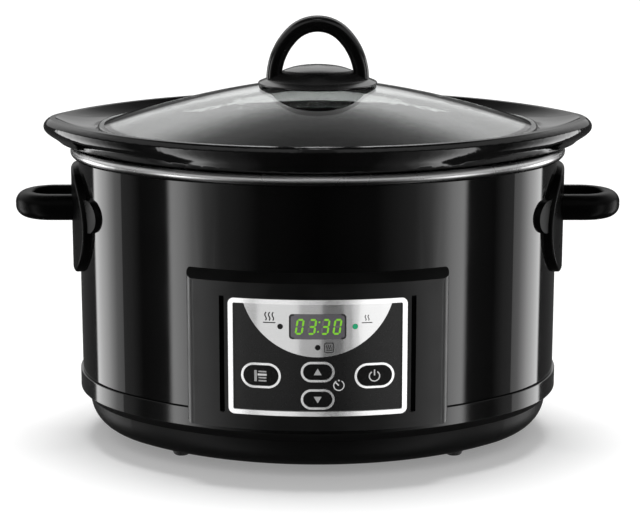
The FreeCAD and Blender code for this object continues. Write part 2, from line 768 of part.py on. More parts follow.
def heating_well():
    rim_under = RIM_SEAT - WELL_SHEET
    foot_inset = WELL_INSET + WELL_TAPER
    outer_foot = foot_inset - WELL_SHEET
    pan = oval_dish(
        [
            (-CORE_INSET, WELL_UNDERSIDE),
            (-outer_foot, WELL_UNDERSIDE, WELL_CORNER_RADIUS + WELL_SHEET),
            (-WELL_INSET + WELL_SHEET, rim_under, WELL_SHEET),
            (BEAD_OUTSET, rim_under),
            (BEAD_OUTSET, RIM_SEAT),
            (-WELL_INSET, RIM_SEAT, 2 * WELL_SHEET),
            (-foot_inset, WELL_FLOOR, WELL_CORNER_RADIUS),
            (-CORE_INSET, WELL_FLOOR),
        ],
        WELL_UNDERSIDE,
        WELL_FLOOR,
    )
    bead_size = 2 * BEAD_RADIUS
    hollow = BEAD_RADIUS - BEAD_SHEET
    bead = oval_ring(box_corners(BEAD_OUTSET, BEAD_CENTRE, bead_size, bead_size, BEAD_RADIUS))
    bore = oval_ring(box_corners(BEAD_OUTSET, BEAD_CENTRE, 2 * hollow, 2 * hollow, hollow))
    slot = oval_ring(
        [
            (-SHELL_WALL - FIT_CLEARANCE, BEAD_CENTRE - bead_size),
            (FIT_CLEARANCE, BEAD_CENTRE - bead_size),
            (FIT_CLEARANCE, BEAD_CENTRE),
            (-SHELL_WALL - FIT_CLEARANCE, BEAD_CENTRE),
        ]
    )
    return joined([pan, bead]).cut([bore, slot])


def heating_band():
    low = WELL_FLOOR + BAND_RISE
    high = low + BAND_HEIGHT
    inner_low = FIT_CLEARANCE - well_outer_inset(low)
    inner_high = FIT_CLEARANCE - well_outer_inset(high)
    band = oval_ring(
        [
            (inner_low, low),
            (inner_low + BAND_THICKNESS, low),
            (inner_high + BAND_THICKNESS, high),
            (inner_high, high),
        ]
    )
    corner = FreeCAD.Vector(-BAND_SPLIT / 2, 0, low - BAND_HEIGHT / 2)
    return band.cut(Part.makeBox(BAND_SPLIT, BODY_HALF_WIDTH, 2 * BAND_HEIGHT, corner))


def band_clip():
    middle = WELL_FLOOR + BAND_RISE + BAND_HEIGHT / 2
    low = middle - CLIP_HEIGHT / 2
    high = middle + CLIP_HEIGHT / 2
    face_low = 2 * FIT_CLEARANCE - well_outer_inset(low) + BAND_THICKNESS
    face_high = 2 * FIT_CLEARANCE - well_outer_inset(high) + BAND_THICKNESS
    strip = oval_ring(
        [
            (face_low, low),
            (face_low + CLIP_THICKNESS, low),
            (face_high + CLIP_THICKNESS, high),
            (face_high, high),
        ]
    )
    corner = FreeCAD.Vector(-CLIP_LENGTH / 2, 0, low - CLIP_HEIGHT / 2)
    return strip.common(Part.makeBox(CLIP_LENGTH, BODY_HALF_WIDTH, 2 * CLIP_HEIGHT, corner))


def heat_shield():
    low = BOARD_LOW
    plate = Part.makeBox(
        2 * BODY_HALF_LENGTH,
        SHIELD_SHEET,
        BOARD_HIGH - low,
        FreeCAD.Vector(-BODY_HALF_LENGTH, SHIELD_FRONT, low),
    )
    notches = []
    for x, z in HOUSING_BOSSES:
        start = FreeCAD.Vector(0, -BODY_HALF_WIDTH, z)
        notch = rod(HOUSING_SCREW_HEAD_RADIUS + SHIELD_GAP, start, start + Y_AXIS * (2 * WELL_INSET))
        notches.append(about_panel_axis(notch, x))
    return plate.common(oval_plate(-SHELL_WALL - FIT_CLEARANCE, low, BOARD_HIGH)).cut(notches)


def fuse_axis_level():
    return WELL_UNDERSIDE - FUSE_RADIUS - FIT_CLEARANCE


def thermal_fuse():
    level = fuse_axis_level()
    start = FreeCAD.Vector(FUSE_CENTRE_X, -FUSE_LENGTH / 2, level)
    end = FreeCAD.Vector(FUSE_CENTRE_X, FUSE_LENGTH / 2, level)
    body = rod(FUSE_RADIUS, start, end)
    tip = Y_AXIS * (FUSE_LENGTH / 2)
    leads = [rod(FUSE_RADIUS / 4, start - tip, start), rod(FUSE_RADIUS / 4, end, end + tip)]
    return joined([body] + leads)


def fuse_bracket():
    """Sheet strap with a half-round saddle under the fuse and two tabs on the well."""
    level = fuse_axis_level()
    inner = FUSE_RADIUS + FIT_CLEARANCE
    outer = inner + FUSE_STRAP_SHEET
    reach = outer + FUSE_TAB
    tab_low = WELL_UNDERSIDE - FUSE_STRAP_SHEET

    def place(point):
        return FreeCAD.Vector(FUSE_CENTRE_X + point[0], -FUSE_STRAP_WIDTH / 2, point[1])

    path = [
        ((-reach, WELL_UNDERSIDE), None, (-reach, tab_low)),
        ((-reach, tab_low), None, (-outer, tab_low)),
        ((-outer, tab_low), None, (-outer, level)),
        ((-outer, level), (0.0, level - outer), (outer, level)),
        ((outer, level), None, (outer, tab_low)),
        ((outer, tab_low), None, (reach, tab_low)),
        ((reach, tab_low), None, (reach, WELL_UNDERSIDE)),
        ((reach, WELL_UNDERSIDE), None, (inner, WELL_UNDERSIDE)),
        ((inner, WELL_UNDERSIDE), None, (inner, level)),
        ((inner, level), (0.0, level - inner), (-inner, level)),
        ((-inner, level), None, (-inner, WELL_UNDERSIDE)),
        ((-inner, WELL_UNDERSIDE), None, (-reach, WELL_UNDERSIDE)),
    ]
    return Part.Face(path_wire(path, place)).extrude(FreeCAD.Vector(0, FUSE_STRAP_WIDTH, 0))


def foot_places():
    return [(sx * FOOT_SPREAD_X, sy * FOOT_SPREAD_Y) for sx in (-1, 1) for sy in (-1, 1)]


def power_standoffs():
    half_length = POWER_BOARD_LENGTH / 2 - STANDOFF_INSET
    half_width = POWER_BOARD_WIDTH / 2 - STANDOFF_INSET
    return [
        FreeCAD.Vector(POWER_BOARD_CENTRE_X + sx * half_length, sy * half_width, 0)
        for sx in (-1, 1)
        for sy in (-1, 1)
    ]


def inlet_level():
    return BASE_TOP - BASE_BAND_HEIGHT / 2


def base_pan():
    bowl = BASE_BAND_PROUD - BASE_BOWL_INSET
    band_low = BASE_TOP - BASE_BAND_HEIGHT
    bowl_top = band_low - BASE_CHAMFER_DROP
    bowl_radius = bowl_top - FOOT_HEIGHT - BASE_EDGE_ROUNDING
    lip_outer = -SHELL_WALL - FIT_CLEARANCE
    lip_inner = lip_outer - BASE_LIP_WALL
    lip_top = BASE_TOP + BASE_LIP_HEIGHT
    pan = oval_dish(
        [
            (-CORE_INSET, FOOT_HEIGHT),
            (bowl, FOOT_HEIGHT, bowl_radius),
            (bowl, bowl_top),
            (BASE_BAND_PROUD, band_low, BASE_EDGE_ROUNDING),
            (BASE_BAND_PROUD, BASE_TOP, BASE_EDGE_ROUNDING),
            (lip_outer, BASE_TOP),
            (lip_outer, lip_top),
            (lip_inner, lip_top),
            (lip_inner, band_low),
            (bowl - BASE_WALL, bowl_top),
            (bowl - BASE_WALL, BASE_FLOOR, bowl_radius - BASE_WALL),
            (-CORE_INSET, BASE_FLOOR),
        ],
        FOOT_HEIGHT,
        BASE_FLOOR,
    )
    adds = [rod(HUB_RADIUS, Z_AXIS * FOOT_HEIGHT, Z_AXIS * (FOOT_HEIGHT + HUB_HEIGHT))]
    cuts = [
        rod(HUB_RECESS_RADIUS, FreeCAD.Vector(0, 0, 0), Z_AXIS * (FOOT_HEIGHT + HUB_RECESS_DEPTH)),
        rod(STUD_RADIUS + FIT_CLEARANCE, FreeCAD.Vector(0, 0, 0), Z_AXIS * WELL_FLOOR),
    ]
    for x, y in foot_places():
        stem_radius = FOOT_STEM_RADIUS + FIT_CLEARANCE
        cuts.append(rod(stem_radius, FreeCAD.Vector(x, y, 0), FreeCAD.Vector(x, y, 2 * BASE_FLOOR)))
    for place in power_standoffs():
        top = place + Z_AXIS * POWER_BOARD_BOTTOM
        adds.append(rod(STANDOFF_RADIUS, place + Z_AXIS * FOOT_HEIGHT, top))
        cuts.append(rod(POWER_SCREW_RADIUS, top - Z_AXIS * POWER_SCREW_LENGTH, top))
    inlet_start = FreeCAD.Vector(0, BODY_HALF_WIDTH / 2, inlet_level())
    inlet_end = FreeCAD.Vector(0, BODY_HALF_WIDTH + INLET_REACH, inlet_level())
    cuts.append(rod(INLET_SLEEVE_RADIUS + FIT_CLEARANCE, inlet_start, inlet_end))
    return joined([pan] + adds).cut(cuts)


def feet():
    profile = [
        (0.0, 0.0),
        (FOOT_RADIUS, 0.0, FOOT_ROUNDING),
        (FOOT_RADIUS, FOOT_HEIGHT),
        (FOOT_STEM_RADIUS, FOOT_HEIGHT),
        (FOOT_STEM_RADIUS, BASE_FLOOR),
        (FOOT_HEAD_RADIUS, BASE_FLOOR),
        (FOOT_STEM_RADIUS, BASE_FLOOR + FOOT_HEAD_HEIGHT),
        (0.0, BASE_FLOOR + FOOT_HEAD_HEIGHT),
    ]
    foot = turned(profile)
    return Part.makeCompound([foot.translated(FreeCAD.Vector(x, y, 0)) for x, y in foot_places()])


def hub_seat():
    return FOOT_HEIGHT + HUB_RECESS_DEPTH


def base_stud():
    low = hub_seat() - WASHER_THICKNESS - NUT_HEIGHT
    plate_low = WELL_UNDERSIDE - STUD_PLATE_THICKNESS
    return turned(
        [
            (0.0, low),
            (STUD_RADIUS, low),
            (STUD_RADIUS, plate_low),
            (STUD_PLATE_RADIUS, plate_low),
            (STUD_PLATE_RADIUS, WELL_UNDERSIDE),
            (0.0, WELL_UNDERSIDE),
        ]
    )


def base_washer():
    bore = STUD_RADIUS + FIT_CLEARANCE
    top = hub_seat()
    low = top - WASHER_THICKNESS
    return turned([(bore, low), (WASHER_RADIUS, low), (WASHER_RADIUS, top), (bore, top)])


def base_nut():
    top = hub_seat() - WASHER_THICKNESS
    corners = []
    for i in range(6):
        angle = math.radians(60 * i)
        corners.append((NUT_ACROSS_CORNERS / 2 * math.cos(angle), NUT_ACROSS_CORNERS / 2 * math.sin(angle)))
    face = rounded_face(corners, lambda p: FreeCAD.Vector(p[0], p[1], top - NUT_HEIGHT))
    bore = rod(STUD_RADIUS + FIT_CLEARANCE, FreeCAD.Vector(0, 0, 0), FreeCAD.Vector(0, 0, top))
    return face.extrude(FreeCAD.Vector(0, 0, NUT_HEIGHT)).cut(bore)


def cord_inlet():
    wall_face = BODY_HALF_WIDTH + BASE_BAND_PROUD
    wall_back = BODY_HALF_WIDTH - SHELL_WALL - FIT_CLEARANCE - BASE_LIP_WALL
    seat = wall_face + FIT_CLEARANCE
    inside = wall_back - FIT_CLEARANCE
    nose = wall_face + INLET_REACH
    bush = turned(
        [
            (INLET_BORE_RADIUS, inside - INLET_COLLAR_THICKNESS),
            (INLET_COLLAR_RADIUS, inside - INLET_COLLAR_THICKNESS),
            (INLET_COLLAR_RADIUS, inside),
            (INLET_SLEEVE_RADIUS, inside),
            (INLET_SLEEVE_RADIUS, seat),
            (INLET_FLANGE_RADIUS, seat),
            (INLET_FLANGE_RADIUS, seat + INLET_FLANGE_THICKNESS / 2),
            (INLET_NOSE_RADIUS, seat + INLET_FLANGE_THICKNESS),
            (INLET_NOSE_RADIUS, nose),
            (INLET_BORE_RADIUS, nose),
        ]
    )
    bush.rotate(FreeCAD.Vector(0, 0, 0), X_AXIS, -90)
    bush.translate(FreeCAD.Vector(0, 0, inlet_level()))
    return bush


# Side handles

def handle_screw_rows():
    row = HANDLE_LOOP_HALF_WIDTH - HANDLE_BAR / 2
    return (-row, row)


def end_face_edges(shape, offset):
    """Edges round the face that lies on the body's end arc at the offset."""
    for face in shape.Faces:
        if isinstance(face.Surface, Part.Cylinder):
            if abs(face.Surface.Radius - BODY_END_RADIUS - offset) < TINY:
                return face.OuterWire.Edges
    return []


def level_edges(shape, root):
    """Edges that lie level beyond the root of the finger loop."""
    return [edge for edge in shape.Edges if edge.BoundBox.ZLength < TINY and edge.BoundBox.XMax > root + TINY]


def handle_plate():
    """Curved shield on the shell, with a lobe to each side behind it."""
    def upright(point):
        return FreeCAD.Vector(BODY_END_RADIUS / 2, point[0], point[1])

    along = FreeCAD.Vector(BODY_HALF_LENGTH, 0, 0)
    low = HANDLE_LEVEL - HANDLE_PLATE_BELOW
    high = HANDLE_LEVEL + HANDLE_PLATE_ABOVE
    end_half = HANDLE_PLATE_END_HALF_WIDTH
    outline = [
        ((-end_half, low), None, (end_half, low)),
        ((end_half, low), (HANDLE_PLATE_HALF_WIDTH, HANDLE_LEVEL), (end_half, high)),
        ((end_half, high), (0.0, high + HANDLE_PLATE_CROWN), (-end_half, high)),
        ((-end_half, high), (-HANDLE_PLATE_HALF_WIDTH, HANDLE_LEVEL), (-end_half, low)),
    ]
    shield = Part.Face(path_wire(outline, upright)).extrude(along)
    corners = [edge for edge in shield.Edges if edge.BoundBox.XLength > TINY]
    shield = shield.makeFillet(HANDLE_PLATE_CORNER, corners)
    lobe_outline = box_corners(
        0, HANDLE_LEVEL, 2 * HANDLE_LOBE_HALF_WIDTH, HANDLE_LOBE_HEIGHT, HANDLE_LOBE_HEIGHT / 2
    )
    lobes = rounded_face(lobe_outline, upright).extrude(along)
    span_low = low - HANDLE_PLATE_CROWN
    span_high = high + 2 * HANDLE_PLATE_CROWN
    plate = shield.common(oval_plate(HANDLE_PLATE_PROUD, span_low, span_high))
    plate = plate.makeFillet(HANDLE_PLATE_ROUNDING, end_face_edges(plate, HANDLE_PLATE_PROUD))
    lobes = lobes.common(oval_plate(HANDLE_LOBE_PROUD, span_low, span_high))
    return joined([plate, lobes]), oval_plate(FIT_CLEARANCE, span_low, span_high)


def handle_loop(inset, root):
    """Level block that fills the loop's outline, drawn in by the inset."""
    half = HANDLE_LOOP_HALF_WIDTH - inset
    end = BODY_HALF_LENGTH + HANDLE_REACH - inset
    face = rounded_face(
        [(root, -half), (end, -half, half), (end, half, half), (root, half)],
        lambda p: FreeCAD.Vector(p[0], p[1], HANDLE_LEVEL - HANDLE_BAR_HEIGHT / 2),
    )
    return face.extrude(FreeCAD.Vector(0, 0, HANDLE_BAR_HEIGHT))


def handle_right():
    root = BODY_HALF_LENGTH - WELL_INSET
    loop = handle_loop(0.0, root)
    loop = loop.makeFillet(HANDLE_OUTER_ROUNDING, level_edges(loop, root))
    opening = handle_loop(HANDLE_BAR, root)
    opening_edges = [edge.CenterOfMass for edge in level_edges(opening, root)]
    loop = loop.cut(opening)
    rims = []
    for edge in loop.Edges:
        if any(edge.CenterOfMass.distanceToPoint(centre) < FIT_CLEARANCE for centre in opening_edges):
            rims.append(edge)
    loop = loop.makeFillet(HANDLE_INNER_ROUNDING, rims)
    plate, body = handle_plate()
    handle = joined([plate, loop]).cut(body)
    pilots = []
    for y in handle_screw_rows():
        start = FreeCAD.Vector(root, y, HANDLE_LEVEL)
        depth = handle_screw_seat(y) - root + HANDLE_SCREW_LENGTH
        pilots.append(rod(HANDLE_SCREW_RADIUS, start, start + X_AXIS * depth))
    return handle.cut(pilots)


def handle_left():
    return handle_right().mirror(FreeCAD.Vector(0, 0, 0), X_AXIS)


def handle_screw_seat(y):
    """X of the inside of the shell where a screw head's rim meets it."""
    centre_x, radius = BODY_ARCS[1][0], BODY_ARCS[1][2]
    reach = abs(y) + HANDLE_SCREW_HEAD_RADIUS
    return centre_x + math.sqrt((radius - SHELL_WALL) ** 2 - reach ** 2)


def handle_screws():
    shank = HANDLE_SCREW_RADIUS - FIT_CLEARANCE
    length = HANDLE_SCREW_LENGTH - HANDLE_SCREW_RADIUS
    screws = []
    for side in (-1, 1):
        for y in handle_screw_rows():
            one = screw(shank, length, HANDLE_SCREW_HEAD_RADIUS, HANDLE_SCREW_HEAD_HEIGHT)
            one.rotate(FreeCAD.Vector(0, 0, 0), Y_AXIS, side * 90)
            screws.append(one.translated(FreeCAD.Vector(side * handle_screw_seat(y), y, HANDLE_LEVEL)))
    return Part.makeCompound(screws)


# Control panel

def control_housing():
    shell_face = SIDE_RADIUS + FIT_CLEARANCE
    hollow_back = SIDE_RADIUS - PANEL_BULGE
    beyond = FACE_RADIUS + PANEL_BULGE
    height = PANEL_HEIGHT + PANEL_TOP_RISE
    middle = PANEL_BOTTOM + height / 2
    block = panel_slab(box_corners(0, middle, 2 * PANEL_HALF_WIDTH, height), shell_face, FACE_RADIUS)
    corner_depth = panel_depth(FACE_RADIUS, PANEL_HALF_WIDTH)
    front_edges = []
    for edge in block.Edges:
        upright = edge.BoundBox.ZLength > height / 2
        if upright and abs(edge.CenterOfMass.y - corner_depth) < FIT_CLEARANCE:
            front_edges.append(edge)
    rounded = box_corners(0, middle, 2 * PANEL_HALF_WIDTH, height, PANEL_CORNER)
    block = block.makeFillet(PANEL_EDGE_RADIUS, front_edges).common(panel_prism(rounded))
    slant = rounded_face(
        [
            (SIDE_RADIUS, PANEL_TOP + PANEL_TOP_RISE),
            (FACE_RADIUS, PANEL_TOP),
            (beyond, PANEL_TOP),
            (beyond, PANEL_TOP + 2 * PANEL_TOP_RISE),
            (SIDE_RADIUS, PANEL_TOP + 2 * PANEL_TOP_RISE),
        ],
        lambda p: FreeCAD.Vector(0, SIDE_CENTRE - p[0], p[1]),
    ).revolve(FreeCAD.Vector(0, SIDE_CENTRE, 0), Z_AXIS, 360)
    hollow_height = PANEL_HEIGHT - 2 * PANEL_WALL
    hollow_centre = PANEL_BOTTOM + PANEL_HEIGHT / 2
    deep_width = 2 * (PANEL_HALF_WIDTH - PANEL_EDGE_RADIUS)
    wide_width = 2 * (PANEL_HALF_WIDTH - PANEL_WALL)
    deep_hollow = panel_slab(
        box_corners(0, hollow_centre, deep_width, hollow_height), hollow_back, FACE_RADIUS - PANEL_WALL
    )
    wide_hollow = panel_slab(
        box_corners(0, hollow_centre, wide_width, hollow_height), hollow_back, FACE_RADIUS - PANEL_EDGE_RADIUS
    )
    band = oval_plate(BASE_BAND_PROUD + FIT_CLEARANCE, 0, SHELL_BOTTOM)
    walls = block.cut([slant, deep_hollow, wide_hollow, band])

    adds = [panel_slab(frame_outline(-PANEL_WALL), POCKET_BACK_RADIUS, FACE_RADIUS)]
    cuts = [
        panel_slab(frame_outline(-FIT_CLEARANCE), POCKET_RADIUS, beyond),
        panel_prism(window_outline(WINDOW_LEDGE)),
    ]
    for x, z in BOARD_BOSSES:
        start = FreeCAD.Vector(x, BOARD_FRONT, z)
        front = panel_depth(POCKET_RADIUS - PANEL_WALL / 2, x)
        adds.append(rod(BOARD_BOSS_RADIUS, start, FreeCAD.Vector(x, front, z)))
        cuts.append(rod(BOARD_SCREW_RADIUS, start, start - Y_AXIS * (BOARD_SCREW_LENGTH - BOARD_THICKNESS)))
    boss_room = panel_tube(shell_face, FACE_RADIUS - PANEL_WALL / 2)
    for x, z in HOUSING_BOSSES:
        start = FreeCAD.Vector(0, -BODY_HALF_WIDTH + WELL_INSET, z)
        boss = rod(HOUSING_BOSS_RADIUS, start, FreeCAD.Vector(0, -BODY_HALF_WIDTH - PANEL_BULGE, z))
        adds.append(about_panel_axis(boss, x).common(boss_room))
        pilot_end = FreeCAD.Vector(0, -BODY_HALF_WIDTH - HOUSING_SCREW_LENGTH, z)
        pilot = rod(HOUSING_SCREW_RADIUS, start, pilot_end)
        cuts.append(about_panel_axis(pilot, x))
    for name in BUTTONS:
        cuts.append(panel_prism(button_outline(name, BUTTON_CLEARANCE)))
    for place in INDICATORS:
        cuts.append(panel_prism(indicator_outline(place, -INDICATOR_RADIUS / 4)))
    for side in (-1, 1):
        x = side * (FRAME_WIDTH / 2 + GROOVE_GAP + GROOVE_WIDTH / 2)
        groove = box_corners(x, FRAME_CENTRE, GROOVE_WIDTH, FRAME_HEIGHT, GROOVE_WIDTH / 2)
        cuts.append(panel_slab(groove, FACE_RADIUS - GROOVE_DEPTH, beyond))
    return joined([walls] + adds).cut(cuts)


def housing_screws():
    sag = SIDE_RADIUS - math.sqrt(SIDE_RADIUS ** 2 - HOUSING_SCREW_HEAD_RADIUS ** 2)
    seat = -BODY_HALF_WIDTH + SHELL_WALL + FIT_CLEARANCE + sag
    shank = HOUSING_SCREW_RADIUS - FIT_CLEARANCE
    length = HOUSING_SCREW_LENGTH - FIT_CLEARANCE
    screws = []
    for x, z in HOUSING_BOSSES:
        one = screw(shank, length, HOUSING_SCREW_HEAD_RADIUS, HOUSING_SCREW_HEAD_HEIGHT)
        one.rotate(FreeCAD.Vector(0, 0, 0), X_AXIS, 90)
        screws.append(about_panel_axis(one.translated(FreeCAD.Vector(0, seat, z)), x))
    return Part.makeCompound(screws)


def panel_frame():
    outer = panel_slab(frame_outline(), POCKET_RADIUS, FACE_RADIUS + FRAME_PROUD)
    return outer.cut(panel_prism(frame_outline(FRAME_LINE)))


def segment_wire():
    """Circle segment that hangs from the inside of the frame's top edge."""
    top = FRAME_CENTRE + FRAME_HEIGHT / 2 - FRAME_LINE - FIT_CLEARANCE
    half = SEGMENT_HALF_CHORD
    front = -(BODY_HALF_WIDTH + 2 * PANEL_BULGE)

    def place(point):
        return FreeCAD.Vector(point[0], front, point[1])

    path = [
        ((half, top), None, (-half, top)),
        ((-half, top), (0.0, top - SEGMENT_DEPTH), (half, top)),
    ]
    return path_wire(path, place)


def face_holes(grow):
    cuts = [panel_prism(window_outline(-grow))]
    for place in INDICATORS:
        cuts.append(panel_prism(indicator_outline(place, grow)))
    return cuts


def panel_overlay():
    plate = panel_slab(frame_outline(FRAME_LINE + FIT_CLEARANCE), POCKET_RADIUS, OVERLAY_RADIUS)
    cuts = face_holes(FIT_CLEARANCE)
    for name in BUTTONS:
        cuts.append(panel_prism(button_outline(name, BUTTON_CLEARANCE)))
    return plate.cut(cuts)


def silver_segment():
    prism = Part.Face(segment_wire()).extrude(FreeCAD.Vector(0, BODY_HALF_WIDTH / 2, 0))
    inlay = prism.common(panel_tube(OVERLAY_RADIUS, OVERLAY_RADIUS + SEGMENT_THICKNESS))
    return inlay.cut(face_holes(FIT_CLEARANCE))


def display_window():
    return panel_slab(window_outline(), POCKET_RADIUS, POCKET_RADIUS + WINDOW_THICKNESS)


def display_module():
    back = panel_depth(POCKET_RADIUS, MODULE_WIDTH / 2) + PANEL_WALL / 4
    low = FRAME_CENTRE + WINDOW_RISE - MODULE_HEIGHT / 2
    corner = FreeCAD.Vector(-MODULE_WIDTH / 2, back, low)
    return Part.makeBox(MODULE_WIDTH, BOARD_FRONT - back, MODULE_HEIGHT, corner)


def indicator(place):
    return panel_slab(indicator_outline(place), POCKET_RADIUS, POCKET_RADIUS + INDICATOR_LENGTH)


def indicator_lit():
    return indicator(INDICATORS[1])


def indicators_off():
    return Part.makeCompound([indicator(INDICATORS[0]), indicator(INDICATORS[2])])


def switch_top():
    return BOARD_FRONT - SWITCH_HEIGHT - PLUNGER_HEIGHT


def button(name):
    """Cap with a curved face, a flange behind the pocket floor and a stem over its switch."""
    x, rise = BUTTONS[name][:2]
    flange_front = POCKET_BACK_RADIUS - BUTTON_CLEARANCE
    flange_back = flange_front - BUTTON_FLANGE_THICKNESS
    cap = panel_slab(button_outline(name), flange_back, OVERLAY_RADIUS + BUTTON_PROUD)
    flange = panel_slab(button_outline(name, BUTTON_FLANGE), flange_back, flange_front)
    z = FRAME_CENTRE + rise
    stem_start = panel_depth(flange_back + BUTTON_FLANGE_THICKNESS / 2, x)
    stem_end = switch_top() - BUTTON_TRAVEL - BUTTON_CLEARANCE
    stem = rod(BUTTON_STEM_RADIUS, FreeCAD.Vector(x, stem_start, z), FreeCAD.Vector(x, stem_end, z))
    return joined([cap, flange, stem])


def button_rings():
    rings = []
    for name in BUTTONS:
        outline = button_outline(name, BUTTON_CLEARANCE + RING_LINE)
        outer = panel_slab(outline, OVERLAY_RADIUS, OVERLAY_RADIUS + RING_PROUD)
        rings.append(outer.cut(panel_prism(button_outline(name, BUTTON_CLEARANCE))))
    return Part.makeCompound(rings)


def control_board():
    plate = Part.makeBox(
        2 * BOARD_HALF_WIDTH,
        BOARD_THICKNESS,
        BOARD_HIGH - BOARD_LOW,
        FreeCAD.Vector(-BOARD_HALF_WIDTH, BOARD_FRONT, BOARD_LOW),
    )
    holes = []
    for x, z in BOARD_BOSSES:
        start = FreeCAD.Vector(x, BOARD_FRONT, z)
        holes.append(rod(BOARD_SCREW_RADIUS + FIT_CLEARANCE, start, start + Y_AXIS * BOARD_THICKNESS))
    return plate.cut(holes)


def tact_switches():
    switches = []
    for name in BUTTONS:
        x, rise = BUTTONS[name][:2]
        z = FRAME_CENTRE + rise
        body_front = BOARD_FRONT - SWITCH_HEIGHT
        corner = FreeCAD.Vector(x - SWITCH_WIDTH / 2, body_front, z - SWITCH_WIDTH / 2)
        body = Part.makeBox(SWITCH_WIDTH, SWITCH_HEIGHT, SWITCH_WIDTH, corner)
        plunger = rod(PLUNGER_RADIUS, FreeCAD.Vector(x, body_front, z), FreeCAD.Vector(x, switch_top(), z))
        switches.append(joined([body, plunger]))
    return Part.makeCompound(switches)


def board_screws():
    shank = BOARD_SCREW_RADIUS - FIT_CLEARANCE
    length = BOARD_SCREW_LENGTH - FIT_CLEARANCE
    screws = []
    for x, z in BOARD_BOSSES:
        one = screw(shank, length, BOARD_SCREW_HEAD_RADIUS, BOARD_SCREW_HEAD_HEIGHT)
        one.rotate(FreeCAD.Vector(0, 0, 0), X_AXIS, 90)
        screws.append(one.translated(FreeCAD.Vector(x, BOARD_BACK, z)))
    return Part.makeCompound(screws)


# Supply board

def power_board():
    corner = FreeCAD.Vector(
        POWER_BOARD_CENTRE_X - POWER_BOARD_LENGTH / 2, -POWER_BOARD_WIDTH / 2, POWER_BOARD_BOTTOM
    )
    plate = Part.makeBox(POWER_BOARD_LENGTH, POWER_BOARD_WIDTH, BOARD_THICKNESS, corner)
    holes = []
    for place in power_standoffs():
        start = place + Z_AXIS * POWER_BOARD_BOTTOM
        holes.append(rod(POWER_SCREW_RADIUS + FIT_CLEARANCE, start, start + Z_AXIS * BOARD_THICKNESS))
    return plate.cut(holes)


def power_screws():
    seat = POWER_BOARD_BOTTOM + BOARD_THICKNESS
    shank = POWER_SCREW_RADIUS - FIT_CLEARANCE
    screws = []
    for place in power_standoffs():
        one = screw(shank, POWER_SCREW_LENGTH, POWER_SCREW_HEAD_RADIUS, POWER_SCREW_HEAD_HEIGHT)
        one.rotate(FreeCAD.Vector(0, 0, 0), X_AXIS, 180)
        screws.append(one.translated(place + Z_AXIS * seat))
    return Part.makeCompound(screws)


def power_relay():
    corner = FreeCAD.Vector(
        POWER_BOARD_CENTRE_X + RELAY_SHIFT_X - RELAY_LENGTH / 2,
        RELAY_SHIFT_Y - RELAY_WIDTH / 2,
        POWER_BOARD_BOTTOM + BOARD_THICKNESS,
    )
    body = Part.makeBox(RELAY_LENGTH, RELAY_WIDTH, RELAY_HEIGHT, corner)
    upright = [edge for edge in body.Edges if edge.BoundBox.ZLength > RELAY_HEIGHT / 2]
    return body.makeFillet(RELAY_WIDTH / 12, upright)


def power_capacitor():
    low = POWER_BOARD_BOTTOM + BOARD_THICKNESS
    can = turned(
        [
            (0.0, low),
            (CAPACITOR_RADIUS, low),
            (CAPACITOR_RADIUS, low + CAPACITOR_HEIGHT),
            (0.0, low + CAPACITOR_HEIGHT),
        ]
    )
    can.translate(FreeCAD.Vector(POWER_BOARD_CENTRE_X + CAPACITOR_SHIFT_X, CAPACITOR_SHIFT_Y, 0))
    return can


NODES = [
    crock, lid_glass, lid_knob, knob_seal, knob_screw,
    outer_shell, heating_well, heating_band, band_clip, heat_shield, thermal_fuse, fuse_bracket,
    base_pan, feet, base_stud, base_washer, base_nut, cord_inlet,
    handle_left, handle_right, handle_screws,
    control_housing, housing_screws, panel_frame, panel_overlay, silver_segment,
    display_window, display_module, indicator_lit, indicators_off, button_rings,
    control_board, tact_switches, board_screws,
    power_board, power_screws, power_relay, power_capacitor,
]

os.makedirs("parts", exist_ok=True)
for make in NODES:
    make().exportStep("parts/" + make.__name__ + ".step")
for button_name in BUTTONS:
    button(button_name).exportStep("parts/button_" + button_name + ".step")
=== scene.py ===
import math

import bmesh
import bpy
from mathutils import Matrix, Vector
from mathutils.bvhtree import BVHTree


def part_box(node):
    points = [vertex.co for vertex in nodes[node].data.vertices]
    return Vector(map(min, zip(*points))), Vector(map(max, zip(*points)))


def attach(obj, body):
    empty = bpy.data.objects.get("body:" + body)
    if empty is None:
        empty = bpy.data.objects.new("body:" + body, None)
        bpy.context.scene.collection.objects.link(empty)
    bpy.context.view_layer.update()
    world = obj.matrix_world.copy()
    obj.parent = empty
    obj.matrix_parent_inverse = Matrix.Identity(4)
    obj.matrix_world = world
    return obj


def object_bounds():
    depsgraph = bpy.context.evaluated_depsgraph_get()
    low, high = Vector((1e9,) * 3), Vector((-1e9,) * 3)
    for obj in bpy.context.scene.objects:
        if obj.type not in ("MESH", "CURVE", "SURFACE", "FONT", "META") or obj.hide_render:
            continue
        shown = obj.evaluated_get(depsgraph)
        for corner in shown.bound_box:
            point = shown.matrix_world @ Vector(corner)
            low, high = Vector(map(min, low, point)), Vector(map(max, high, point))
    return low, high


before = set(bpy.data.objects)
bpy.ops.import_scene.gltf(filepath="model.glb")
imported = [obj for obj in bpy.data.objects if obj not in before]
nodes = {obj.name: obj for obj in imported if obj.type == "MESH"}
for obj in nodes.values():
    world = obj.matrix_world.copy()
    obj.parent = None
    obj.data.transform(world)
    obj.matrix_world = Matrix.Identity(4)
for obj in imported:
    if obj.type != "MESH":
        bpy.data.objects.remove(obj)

# Slow cooker in a plain white studio. Metres, the front faces -Y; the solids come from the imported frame.

cad_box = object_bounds()
scene = bpy.context.scene
MM = 0.001

# Camera of the photograph
CAMERA_PLACE = (0.0, -1.257, 0.3936)
CAMERA_PITCH = 0.220
CAMERA_LENS = 113.96
CAMERA_SENSOR = 36.0
CAMERA_SHIFT = 0.0036

